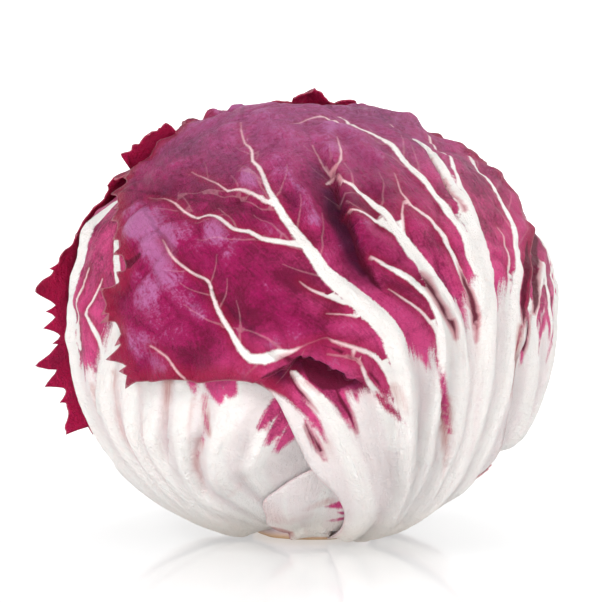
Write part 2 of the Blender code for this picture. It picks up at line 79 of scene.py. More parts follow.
def head_normal(d):
    """The outward normal of that form in unit direction d."""
    p = head_point(d)
    p[:, 2] -= WIDEST_LEVEL
    radius = np.hypot(p[:, 0], p[:, 1])
    power = np.where(p[:, 2] >= 0, 2.0, BASE_FULLNESS) - 1.0
    rise = np.where(p[:, 2] >= 0, CROWN_RISE, BASE_DROP)
    out = (radius / HEAD_RADIUS) ** power / HEAD_RADIUS
    along = np.sign(p[:, 2]) * (np.abs(p[:, 2]) / rise) ** power / rise
    n = np.column_stack([p[:, :2] / np.maximum(radius, 1e-9)[:, None] * out[:, None], along])
    return n / np.linalg.norm(n, axis=1)[:, None]


class LeafMap:
    """A flat map of the head that keeps distance and heading from the middle of one leaf."""

    def __init__(self, bearing, latitude):
        self.middle = direction(bearing, latitude)
        self.right = direction(bearing + 90.0, 0.0)
        self.up = np.cross(self.right, -self.middle)

    def flat(self, d):
        angle = np.arccos(np.clip(d @ self.middle, -1.0, 1.0))
        x, y = d @ self.right, d @ self.up
        scale = HEAD_RADIUS * angle / np.maximum(np.hypot(x, y), 1e-9)
        return np.column_stack([x * scale, y * scale])

    def round(self, xy):
        reach = np.hypot(xy[:, 0], xy[:, 1])
        turn = xy / np.maximum(reach, 1e-9)[:, None]
        side = turn[:, :1] * self.right + turn[:, 1:] * self.up
        angle = (reach / HEAD_RADIUS)[:, None]
        return np.cos(angle) * self.middle + np.sin(angle) * side

    def path(self, corners, step):
        """A smooth flat path through (bearing, latitude, ...) corners; what follows them is kept."""
        corners = np.array(corners, float)
        flat = np.column_stack([self.flat(direction(corners[:, 0], corners[:, 1])), corners[:, 2:]])
        return curve_through(flat, step)


def curve_through(points, step, closed=False):
    """A curve through the points (Catmull-Rom), as points about one step apart."""
    points = np.asarray(points, float)
    last = len(points) if closed else len(points) - 1
    made = []
    for i in range(last):
        if closed:
            a, b, c, d = (points[(i + k) % len(points)] for k in (-1, 0, 1, 2))
        else:
            a, b, c, d = (points[min(max(i + k, 0), last)] for k in (-1, 0, 1, 2))
        count = max(1, round(float(np.linalg.norm((c - b)[:2])) / step))
        t = (np.arange(count) / count)[:, None]
        square = 2 * a - 5 * b + 4 * c - d
        cube = 3 * b - 3 * c + d - a
        made.append(0.5 * (2 * b + (c - a) * t + square * t**2 + cube * t**3))
    if not closed:
        made.append(points[-1:])
    return np.vstack(made)


def inside(xy, outline):
    """Whether each flat point lies inside the closed outline."""
    found = np.zeros(len(xy), bool)
    for a, b in zip(outline, np.roll(outline, -1, axis=0), strict=True):
        crosses = (a[1] > xy[:, 1]) != (b[1] > xy[:, 1])
        rise = b[1] - a[1] if abs(b[1] - a[1]) > 1e-12 else 1e-12
        found ^= crosses & (xy[:, 0] < (b[0] - a[0]) * (xy[:, 1] - a[1]) / rise + a[0])
    return found


def eased(x):
    x = np.clip(x, 0.0, 1.0)
    return x * x * (3.0 - 2.0 * x)


def foot(first, last):
    """Points along the ring where a leaf joins the stem, from one bearing to the other."""
    count = max(2, round(abs(last - first) / FOOT_STEP) + 1)
    return tuple((float(b), LEAF_FOOT) for b in np.linspace(first, last, count))


MARGIN_STEP = 0.6
TOOTH_PITCH = 6.0
TOOTH_PITCH_SPREAD = (0.55, 1.5)
TOOTH_HEIGHT_SPREAD = (0.3, 1.25)
TOOTH_LEAN = (0.25, 0.7)
TOOTH_HOLLOW = 1.5
NICK_HEIGHT = 0.45  # of the small teeth on the largest ones


def lay_out(middle, outline, toothed=(), tooth_height=2.4, seed=1, spikes=()):
    """A leaf's map and its margin with cut teeth: some by rule along stretches, some at given tips."""
    leaf = {"map": LeafMap(*middle)}
    corners = leaf["map"].flat(direction(*np.array(outline, float).T))
    line = curve_through(corners, MARGIN_STEP, closed=True)
    at_corner = [int(np.argmin(np.linalg.norm(line - c, axis=1))) for c in corners]
    run = np.roll(line, -1, axis=0) - np.roll(line, 1, axis=0)
    ahead = np.roll(line, -1, axis=0)
    out = np.column_stack([run[:, 1], -run[:, 0]]) / np.linalg.norm(run, axis=1)[:, None]
    out *= np.sign(np.sum(line[:, 0] * ahead[:, 1] - ahead[:, 0] * line[:, 1]))
    draw = random.Random(seed)
    steps = np.arange(len(line))
    lift = np.zeros(len(line))
    for first, last in toothed:
        place = float(at_corner[first])
        while place < at_corner[last]:
            width = TOOTH_PITCH * draw.uniform(*TOOTH_PITCH_SPREAD) / MARGIN_STEP
            height = tooth_height * draw.uniform(*TOOTH_HEIGHT_SPREAD)
            lean = draw.uniform(*TOOTH_LEAN)
            x = (steps - place) / width
            rising = np.where(x < lean, x / lean, (1.0 - x) / (1.0 - lean))
            tooth = height * np.clip(rising, 0.0, 1.0) ** TOOTH_HOLLOW
            nick = NICK_HEIGHT * np.abs(np.sin(3.0 * math.pi * np.clip(x, 0.0, 1.0)))
            lift = np.maximum(lift, tooth + nick * (height > tooth_height))
            place += width
    pulled = out * lift[:, None]
    for bearing, latitude, half_width in spikes:
        tip = leaf["map"].flat(direction(np.array([bearing]), np.array([latitude])))[0]
        nearest = int(np.argmin(np.linalg.norm(line - tip, axis=1)))
        gap = np.abs((steps - nearest + len(line) // 2) % len(line) - len(line) // 2) * MARGIN_STEP
        pull = np.clip(1.0 - gap / half_width, 0.0, 1.0)[:, None] ** TOOTH_HOLLOW
        pulled = np.where(pull > 0.0, pull * (tip - line[nearest]), pulled)
    leaf["margin"] = line + pulled
    leaf["coarse"] = leaf["margin"][::3]
    round_margin = leaf["map"].round(leaf["margin"])
    leaf["tree"] = kdtree.KDTree(len(round_margin))
    for i, p in enumerate(round_margin):
        leaf["tree"].insert(Vector(p), i)
    leaf["tree"].balance()
    return leaf


def from_margin(d, leaf):
    """Distance from directions d to the leaf's margin, below 0 inside the leaf, and the place round it."""
    found = [leaf["tree"].find(p) for p in d]
    off = np.array([hit[2] for hit in found]) * HEAD_RADIUS
    place = np.array([hit[1] for hit in found]) / len(leaf["margin"])
    return np.where(inside(leaf["map"].flat(d), leaf["coarse"]), -off, off), place


LAYER = 2.3  # how far a leaf sinks under each leaf over it
SINK_WIDTH = 13.0
COVER_START = 1.5


def sunk_under(d, leaves):
    """How many of the leaves lie over directions d, eased outside their margins."""
    total = np.zeros(len(d))
    for leaf in leaves:
        total += eased(1.0 - (from_margin(d, leaf)[0] - COVER_START) / SINK_WIDTH)
    return total


def from_path(d, path):
    """Distance from directions d to a path of directions, the place on it and the side it is on."""
    best = np.full(len(d), 1e9)
    place = np.zeros(len(d))
    side = np.ones(len(d))
    for i, (a, b) in enumerate(zip(path[:-1], path[1:], strict=True)):
        run = b - a
        from_a = d - a
        t = np.clip(from_a @ run / max(float(run @ run), 1e-12), 0.0, 1.0)
        off = np.linalg.norm(from_a - t[:, None] * run, axis=1) * HEAD_RADIUS
        nearer = off < best
        best = np.where(nearer, off, best)
        place = np.where(nearer, (i + t) / (len(path) - 1), place)
        side = np.where(nearer, np.where(from_a @ np.cross(a, run) >= 0.0, 1.0, -1.0), side)
    return best, place, side


RIB_TAPER = (1.25, 1.3, 1.25, 1.1, 0.85, 0.6, 0.38, 0.2, 0.08)
OUTER_RIBS_LOWER = 34.0  # degrees by which the fan's outermost ribs end below its middle one
RIB_ENDS_SHORT = 9.0  # degrees at most, at random
RIB_WAVER = 1.3


def fan_of_ribs(bearing, spread, count, top, width, drift=0.0, seed=1):
    """Ribs that rise from the stem, waver and open out like a fan round the leaf's middle bearing."""
    draw = random.Random(seed)
    opened = np.sin(np.linspace(0.35, 1.5, len(RIB_TAPER)))
    ribs = []
    for side in np.linspace(-1.0, 1.0, count):
        reach = top - OUTER_RIBS_LOWER * abs(side) ** 1.6 - draw.uniform(0.0, RIB_ENDS_SHORT)
        latitudes = np.linspace(LEAF_FOOT + 5.0, reach, len(RIB_TAPER))
        waver = np.array([draw.uniform(-RIB_WAVER, RIB_WAVER) for _ in RIB_TAPER]) * opened
        bearings = bearing + (drift + (side + draw.uniform(-0.06, 0.06)) * spread) * opened + waver
        widths = width * (1.6 - 0.7 * abs(side)) * draw.uniform(0.75, 1.15) * np.array(RIB_TAPER)
        ribs.append(tuple(zip(bearings, latitudes, widths, strict=True)))
    return ribs


TONGUE_STEP = 3.4  # degrees from point to point; every second one is a tongue's tip


def frayed(line, deep, seed):
    """A pale line with tongues of colour that reach down into the white."""
    draw = random.Random(seed)
    made = []
    for here, ahead in zip(np.array(line[:-1], float), np.array(line[1:], float), strict=True):
        count = max(1, round(abs(ahead[0] - here[0]) / TONGUE_STEP))
        for k in range(count):
            share = (k + draw.uniform(-0.2, 0.2)) / count
            dip = deep * draw.uniform(0.35, 1.25) if len(made) % 2 else 0.0
            bearing, latitude = here + (ahead - here) * share
            made.append((bearing, latitude - dip + draw.uniform(-1.0, 1.0)))
    made.append(line[-1])
    return tuple(made)


VEIN_STEP = 2.4
SIDE_VEIN_ANGLE = 0.72
SIDE_VEIN_GAP = 7.5
SIDE_VEIN_HALF = 0.26  # the widest half-width at its start


def side_veins(rib, draw, first=0.3, reach=22.0, depth=2):
    """Thin veins that leave a rib on alternate sides, bend towards its tip and fork again."""
    made = []
    lengths = np.concatenate([[0.0], np.cumsum(np.linalg.norm(np.diff(rib[:, :2], axis=0), axis=1))])
    at = lengths[-1] * first
    side = 1.0 if draw.random() < 0.5 else -1.0
    while at < 0.94 * lengths[-1]:
        x, y, half = (float(np.interp(at, lengths, rib[:, k])) for k in range(3))
        dx, dy = (
            float(np.interp(at + 1.0, lengths, rib[:, k]) - np.interp(at - 1.0, lengths, rib[:, k]))
            for k in range(2)
        )
        heading = math.atan2(dy, dx)
        angle = side * SIDE_VEIN_ANGLE * draw.uniform(0.75, 1.25)
        length = reach * draw.uniform(0.55, 1.2) * (1.15 - at / lengths[-1])
        count = max(3, round(length / VEIN_STEP))
        start = min(0.5 * half, SIDE_VEIN_HALF)
        branch = []
        for k in range(count + 1):
            branch.append((x, y, start * (1.0 - 0.8 * k / count)))
            heading_now = heading + angle * (1.0 - 0.55 * k / count) + draw.uniform(-0.16, 0.16)
            x += math.cos(heading_now) * length / count
            y += math.sin(heading_now) * length / count
        branch = np.array(branch)
        made.append(branch)
        if depth > 1:
            made += side_veins(branch, draw, 0.25, 0.45 * reach, depth - 1)
        side = -side
        at += SIDE_VEIN_GAP * draw.uniform(0.6, 1.4) * (1.0 if depth > 1 else 0.7)
    return made


MESH_STEP = 0.92
LINE_STEP = 0.85
CELL = 0.5  # of the raster that keeps the mesh's points apart
SHEET_EDGE = 3.0
ROW_SPACING = 0.866  # of an even triangular grid, for a step of 1


class Sheet:
    """The flat points of a leaf's fine mesh, with no two too close together."""

    def __init__(self, rim):
        self.rim = rim
        self.low = rim.min(axis=0) - SHEET_EDGE
        self.taken = np.zeros(((rim.max(axis=0) - self.low) / CELL).astype(int) + 8, bool)
        self.points = [tuple(p) for p in rim]
        self.edges = [(i, (i + 1) % len(rim)) for i in range(len(rim))]
        for p in rim:
            self.mark(p)

    def cell(self, p):
        return tuple(((np.asarray(p) - self.low) / CELL).astype(int))

    def mark(self, p):
        i, j = self.cell(p)
        self.taken[i - 1 : i + 2, j - 1 : j + 2] = True

    def add_line(self, line, linked=True):
        """Adds a line's points, joined by edges that the mesh keeps."""
        within = inside(line, self.rim[::2])
        before = None
        fresh = []
        for p, ok in zip(line, within, strict=True):
            if ok and not self.taken[self.cell(p)]:
                self.points.append(tuple(p))
                fresh.append(p)
                if linked and before is not None:
                    self.edges.append((before, len(self.points) - 1))
                before = len(self.points) - 1
                if len(fresh) > 1:
                    self.mark(fresh[-2])
            else:
                before = None
        for p in fresh[-1:]:
            self.mark(p)

    def fill(self, step):
        """Fills the rest with an even triangular grid."""
        high = self.rim.max(axis=0)
        rows = []
        for j, y in enumerate(np.arange(self.low[1] + SHEET_EDGE, high[1], step * ROW_SPACING)):
            x = np.arange(self.low[0] + SHEET_EDGE + step * 0.5 * (j % 2), high[0], step)
            rows.append(np.column_stack([x, np.full(len(x), y)]))
        grid = np.vstack(rows)
        cells = ((grid - self.low) / CELL).astype(int)
        grid = grid[~self.taken[cells[:, 0], cells[:, 1]]]
        self.points += [tuple(p) for p in grid[inside(grid, self.rim[::2])]]


def beside(line, offset):
    """The flat line moved to its left by the offset."""
    run = np.gradient(line[:, :2], axis=0)
    left = np.column_stack([-run[:, 1], run[:, 0]]) / np.linalg.norm(run, axis=1)[:, None]
    return line[:, :2] + offset * left


def off_path(d, chart, corners):
    """As from_path, for a path given by its (bearing, latitude) corners."""
    return from_path(d, chart.round(chart.path(corners, VEIN_STEP)))


def off_streak(d, chart, corners):
    """Distance from directions d to a streak, then its half-width, and a strength if it has one, there."""
    line = chart.path(corners, VEIN_STEP)
    off, place, _ = from_path(d, chart.round(line[:, :2]))
    share = np.linspace(0.0, 1.0, len(line))
    return [off] + [np.interp(place, share, line[:, k]) for k in range(2, line.shape[1])]


OUTSIDE = -30.0  # stands for far outside every rib, vein or streak


def within_streaks(d, chart, streaks):
    """How far inside a streak each direction lies, below 0 outside them all."""
    edge = np.full(len(d), OUTSIDE)
    for streak in streaks:
        off, half = off_streak(d, chart, streak)
        edge = np.maximum(edge, half - off)
    return edge


RIB_RISE = 0.62  # for a half-width of 1
RIB_TALLEST = 1.8
RIB_SHOULDER = 1.0
BROAD_HALF = 0.6  # half-width from which a rib's sides are lines of the mesh too
FOLD_SIDE = 0.4
PRESSED_IN = 0.3  # of a crease
BLADE = 0.8
BLADE_AT_MARGIN = 0.4
PUFF = 0.55  # how far the blade swells between its veins
BUMPS = ((17.0, 1.2), (6.5, 0.62), (2.8, 0.22))  # (size, height) of the crinkles in the coloured blade
FURROWS = ((5.5, 46.0, 0.8), (2.0, 26.0, 0.26))  # (breadth, length, depth) along the ribs at the base
WAVE = 0.9
WAVE_PITCH = 19.0
WAVE_REACH = 9.0
LOWEST = 0.05  # over the floor
RIB_PITCH = 9.0  # from one rib's place in the grain to the next one's


def rough(points, size, seed):
    """Smooth random values between about -1 and 1 at points, varying over the size."""
    shift = Vector((seed * 17.3, seed * -9.1, seed * 5.7))
    return np.array([noise.noise(Vector(p) / size + shift) for p in points])


PUCKER_SIZE = 9.0
PUCKER_RISE = 0.75


def crumpled(points, size, seed):
    """Puffed cells of about a size with creases between them: 0 in a crease, 1 on top of a cell."""
    bends = [0.45 * size * rough(points, 1.4 * size, seed + 3 * k) for k in range(3)]
    bent = points + np.column_stack(bends)
    shift = Vector((seed * 3.7, seed * 5.3, seed * -2.9))
    near = np.array([noise.voronoi(Vector(p) / size + shift)[0][:2] for p in bent])
    return eased(1.6 * (near[:, 1] - near[:, 0])) ** 0.6


def store(mesh, name, kind, values):
    """Stores one value or vector for each point of the mesh."""
    field = mesh.attributes.new(name, kind, "POINT")
    field.data.foreach_set("value" if kind == "FLOAT" else "vector", values.astype(np.float32).ravel())


def grow_leaf(name, leaf, ribs, pale_line, veins=(), folds=(), swells=(), lifts=(), stains=(), blushes_and_groove_shade=(),
              under=(), seed=1, branching=True, thin=(), inset=0.0, creases=()):
    """Makes one leaf: a closed blade with its relief, and the fields that its colours are read from.

    Ribs and veins are (bearing, latitude, half-width) paths. A fold is a path with a height and a width on
    its left and on its right, as seen from outside along the path. A swell is a path, a height and a width.
    A lift is the same, and also moves what lies under other leaves. The pale line parts the white base from
    the coloured blade. Stains are coloured streaks below it, and blushes are faint brownish-pink ones with a
    strength after the half-width, partly real colour and partly painted shade along grooves. Creases are
    pressed-in lines, painted dark as the shade in them. Side veins grow from the paths in thin. The
    leaves in under lie over this one, and inset sinks the whole leaf.
    """
    chart = leaf["map"]
    draw = random.Random(seed)
    main = [chart.path(rib, VEIN_STEP) for rib in ribs]
    lines = main + [chart.path(vein, VEIN_STEP) for vein in veins]
    drawn = len(lines)
    if branching:
        for rib in main:
            lines += side_veins(rib, draw)
    for vein in thin:
        lines += side_veins(chart.path(vein, VEIN_STEP), draw, 0.08, 16.0, 1)

    # The flat mesh, with points along every line of the relief.
    sheet = Sheet(leaf["margin"])
    fine_lines = [curve_through(line, LINE_STEP) for line in lines]
    for fine in fine_lines:
        sheet.add_line(fine[:, :2])
    for fold in folds:
        for side in (FOLD_SIDE, -FOLD_SIDE):
            sheet.add_line(beside(chart.path(fold[0], LINE_STEP), side))
    for line, fine in zip(lines, fine_lines, strict=True):
        if line[:, 2].max() > BROAD_HALF:
            for side in (1.0, -1.0):
                sheet.add_line(beside(fine, side * fine[:, 2:]), linked=False)
    for crease in creases:
        sheet.add_line(chart.path(crease, LINE_STEP)[:, :2])
    sheet.fill(MESH_STEP)
    flat, _, faces, *_ = delaunay_2d_cdt([Vector(p) for p in sheet.points], sheet.edges, [], 1, 1e-6)
    flat = np.array([tuple(v) for v in flat])
    d = chart.round(flat)
    count = len(d)
    surface = head_point(d)

    # The fields of the ribs, of the veins, and of the net of side veins.
    vein_edge, net_edge = np.full((2, count), OUTSIDE)
    vein_half, by_broad, by_thin, crest, rise, grain_across, grain_along = np.zeros((7, count))
    weight = np.full(count, 1e-6)
    for k, line in enumerate(lines):
        path = chart.round(line[:, :2])
        centre = path.mean(axis=0)
        reach = np.linalg.norm(path - centre, axis=1).max() + 16.0 / HEAD_RADIUS
        near = np.arange(count)
        if k >= len(main):
            near = np.flatnonzero(np.linalg.norm(d - centre, axis=1) < reach)
        if len(near) == 0:
            continue
        off, place, side = from_path(d[near], path)
        half = np.interp(place, np.linspace(0.0, 1.0, len(line)), line[:, 2])
        edge = half - off
        if k >= drawn:
            net_edge[near] = np.maximum(net_edge[near], edge)
            rise[near] = np.maximum(rise[near], 0.7 * half * eased(1.0 - off / 1.1))
            continue
        by_broad[near] = np.maximum(by_broad[near], eased(1.0 + edge / 12.0) * eased((half - 0.6) / 1.5))
        by_thin[near] = np.maximum(by_thin[near], eased(1.0 + edge / 2.4) * eased((1.8 - half) / 1.0))
        better = edge + 0.3 * half > vein_edge[near] + 0.3 * vein_half[near]
        vein_edge[near] = np.where(better, edge, vein_edge[near])
        vein_half[near] = np.where(better, half, vein_half[near])
        dome = eased(1.0 - off / (1.15 * half + RIB_SHOULDER * np.minimum(half, 1.0)))
        crest[near] = np.maximum(crest[near], dome * np.minimum(half, 1.0))
        rise[near] = np.maximum(rise[near], dome * np.minimum(RIB_RISE * half, RIB_TALLEST))
        if k < len(main):
            share = 1.0 / (off * off + 2.0)
            length = float(np.linalg.norm(np.diff(line[:, :2], axis=0), axis=1).sum())
            weight += share
            grain_across += share * (RIB_PITCH * k + side * off)
            grain_along += share * place * length
    grain_across /= weight
    grain_along /= weight

    # The fields of what is painted: the white base, stains, shade in the creases, and blushes that are partly
    # groove shade.
    edge_path = chart.path(pale_line, VEIN_STEP)
    if edge_path[0, 0] > edge_path[-1, 0]:
        edge_path = edge_path[::-1]
    off, _, _ = from_path(d, chart.round(edge_path))
    far = 400.0
    beyond = [[far, edge_path[-1, 1]], [far, far], [-far, far], [-far, edge_path[0, 1]]]
    pale_edge = np.where(inside(flat, np.vstack([edge_path, beyond])), -off, off)
    stain_edge = within_streaks(d, chart, stains)
    crease_edge = within_streaks(d, chart, creases)
    blush_and_shade = np.zeros(count)
    for streak in blushes_and_groove_shade:
        off, half, strength = off_streak(d, chart, streak)
        blush_and_shade = np.maximum(blush_and_shade, strength * eased(1.2 - 0.7 * off / half))

    # The height over the plain round head. Where other leaves lie on this one it stays smooth.
    sunk = sunk_under(d, under)
    free = eased(1.0 - 1.5 * sunk)
    off, place = from_margin(d, leaf)
    depth = np.maximum(-off, 0.0)
    depth[: len(leaf["margin"])] = 0.0
    coloured = eased(0.5 - pale_edge / 16.0)
    height = -LAYER * sunk - inset
    length = float(np.linalg.norm(np.diff(leaf["margin"], axis=0), axis=1).sum())
    waves = max(2, round(length / WAVE_PITCH))
    swell = 0.5 - 0.5 * np.cos(2.0 * math.pi * (waves * place + np.sin(6.0 * math.pi * place) / 3.0))
    off_base = eased((d[:, 2] + 0.85) / 0.4)
    height += WAVE * swell * eased(1.0 - depth / WAVE_REACH) * free * off_base * (0.3 + 0.7 * coloured)
    for path, lift, reach in lifts:
        off, place, _ = off_path(d, chart, path)
        ends = eased(place / 0.17 + 0.35) * eased((1.0 - place) / 0.17 + 0.35)
        height += lift * eased(1.0 - off / reach) * ends
    fold = np.zeros(count)
    for path, left, left_width, right, right_width in folds:
        off, place, side = off_path(d, chart, path)
        tall = np.where(side > 0.0, left, right)
        wide = np.where(side > 0.0, left_width, right_width)
        fold += tall * eased(1.0 - off / wide) * np.sin(math.pi * np.clip(place, 0.02, 0.98)) ** 0.5 * free
    bulge = np.zeros(count)
    for path, tall, wide in swells:
        bulge += tall * eased(1.0 - off_path(d, chart, path)[0] / wide) ** 0.8 * free
    between = 1.0 - np.exp(np.minimum(vein_edge, 0.0) / 2.6)
    height += (PUFF * coloured + 0.1) * between * free
    for size, tall in BUMPS:
        bulge += tall * rough(surface, size, seed) * (0.2 + 0.8 * coloured) * free
    pucker = crumpled(surface, PUCKER_SIZE, seed)
    bulge += PUCKER_RISE * (pucker - 0.6) * (0.1 + 0.9 * coloured) * free
    height += bulge + fold - PRESSED_IN * eased(1.0 + 1.5 * crease_edge)
    for breadth, long, deep in FURROWS:
        at = np.column_stack([grain_across / breadth, grain_along / long, np.zeros(count)])
        height += deep * rough(at, 1.0, seed) * (1.0 - 0.8 * coloured) * free * off_base
    blade = BLADE_AT_MARGIN + (BLADE - BLADE_AT_MARGIN) * eased(depth / 3.0)

    # The closed blade: its outer face, its inner face and the rim between them.
    normal = head_normal(d)
    heights = (height + rise * free, height - blade)
    points = np.vstack([surface + normal * over[:, None] for over in heights])
    points[:, 2] = np.maximum(points[:, 2], LOWEST)
    points *= MM
    used = {tuple(edge) for a, b, c in faces for edge in ((a, b), (b, c), (c, a))}
    solid = [tuple(f) for f in faces] + [(c + count, b + count, a + count) for a, b, c in faces]
    for a, b in sorted(edge for edge in used if (edge[1], edge[0]) not in used):
        solid += [(b, a, a + count), (b, a + count, b + count)]
    mesh = bpy.data.meshes.new(name)
    mesh.from_pydata(points.tolist(), [], solid)
    fields = {
        "vein_edge": vein_edge, "vein_half": vein_half, "pale_edge": pale_edge, "stain_edge": stain_edge,
        "crease_edge": crease_edge, "net_edge": net_edge, "by_broad": by_broad, "by_thin": by_thin,
        "crest": crest, "bulge": np.clip(bulge, -0.3, 2.6), "fold": fold, "pucker": pucker, "blush_and_shade": blush_and_shade,
        "from_margin": depth,
    }
    for field, values in fields.items():
        store(mesh, field, "FLOAT", np.concatenate([values, values]))
    store(mesh, "inner_face", "FLOAT", np.repeat([0.0, 1.0], count))
    grain = np.column_stack([grain_across, grain_along, np.zeros(count)])
    store(mesh, "grain", "FLOAT_VECTOR", np.vstack([grain, grain]))
    mesh.shade_smooth()
    piece = bpy.data.objects.new(name, mesh)
    bpy.context.collection.objects.link(piece)
    return piece


class Finish:
    """A material built node by node round one Principled shader."""

    def __init__(self, name):
        self.material = bpy.data.materials.new(name)
        self.material.use_nodes = True
        self.tree = self.material.node_tree
        self.shader = self.tree.nodes["Principled BSDF"]

    def put(self, node, values):
        """Links or sets inputs of a node, by name or number."""
        for key, value in values.items():
            if isinstance(value, bpy.types.NodeSocket):
                self.tree.links.new(value, node.inputs[key])
            elif value is not None:
                node.inputs[key].default_value = value

    def node(self, kind, *values, **settings):
        made = self.tree.nodes.new("ShaderNode" + kind)
        for key, value in settings.items():
            setattr(made, key, value)
        self.put(made, dict(enumerate(values)))
        return made

    def field(self, name, output="Fac"):
        return self.node("Attribute", attribute_name=name).outputs[output]

    def place(self):
        """The place on the piece in millimetres."""
        return self.scaled(self.node("TexCoord").outputs["Object"], (1000.0, 1000.0, 1000.0))

    def math(self, operation, *values):
        return self.node("Math", *values, operation=operation).outputs[0]

    def times(self, first, *others):
        for other in others:
            first = self.math("MULTIPLY", first, other)
        return first

    def shaken(self, value, *noises):
        """The value moved up and down by noises, each given with its amount and taken from its middle."""
        for made, amount in noises:
            value = self.math("MULTIPLY_ADD", made, amount, self.math("SUBTRACT", value, amount / 2.0))
        return value

    def scaled(self, vector, factors):
        return self.node("VectorMath", vector, factors, operation="MULTIPLY").outputs[0]

    def noise(self, vector, scale, detail=3.0, roughness=0.55):
        made = self.node("TexNoise")
        self.put(made, {"Vector": vector, "Scale": scale, "Detail": detail, "Roughness": roughness})
        return made.outputs["Fac"]

    def step(self, value, low, high):
        """0 below low, 1 above high, eased between."""
        made = self.node("MapRange", value, low, high, 0.0, 1.0, interpolation_type="SMOOTHSTEP")
        return made.outputs[0]

    def coats(self, colour, *layers):
        """A colour with others laid over it in turn, each given with its share."""
        for share, over in layers:
            made = self.node("Mix", data_type="RGBA")
            self.put(made, {0: share, 6: colour, 7: over})
            colour = made.outputs[2]
        return colour

    def bump(self, height, distance, strength=1.0):
        made = self.node("Bump")
        self.put(made, {"Height": height, "Distance": distance, "Strength": strength})
        return made.outputs[0]


SHADE_VIOLET = (0.050, 0.002, 0.024, 1.0)
DEEP_WINE = (0.150, 0.003, 0.034, 1.0)
MAGENTA = (0.305, 0.006, 0.084, 1.0)
ROSY = (0.640, 0.066, 0.225, 1.0)
PAINTED_SHEEN_LILAC = (0.440, 0.135, 0.320, 1.0)
MARGIN_RED = (0.290, 0.008, 0.040, 1.0)
INNER_WINE = (0.460, 0.007, 0.070, 1.0)
WHITE_RIB = (0.850, 0.815, 0.790, 1.0)
RIB_SHADE_AND_PINK_WHITE = (0.760, 0.620, 0.640, 1.0)
BROWN_PINK = (0.520, 0.210, 0.190, 1.0)
CREAM_FOOT = (0.780, 0.680, 0.560, 1.0)
PINK_VEIN = (0.760, 0.420, 0.460, 1.0)
GROOVE_SHADE_PINK = (0.700, 0.430, 0.470, 1.0)
CREASE_SHADE_WINE = (0.105, 0.002, 0.020, 1.0)
CREASE_SHADE_RED = (0.480, 0.045, 0.105, 1.0)


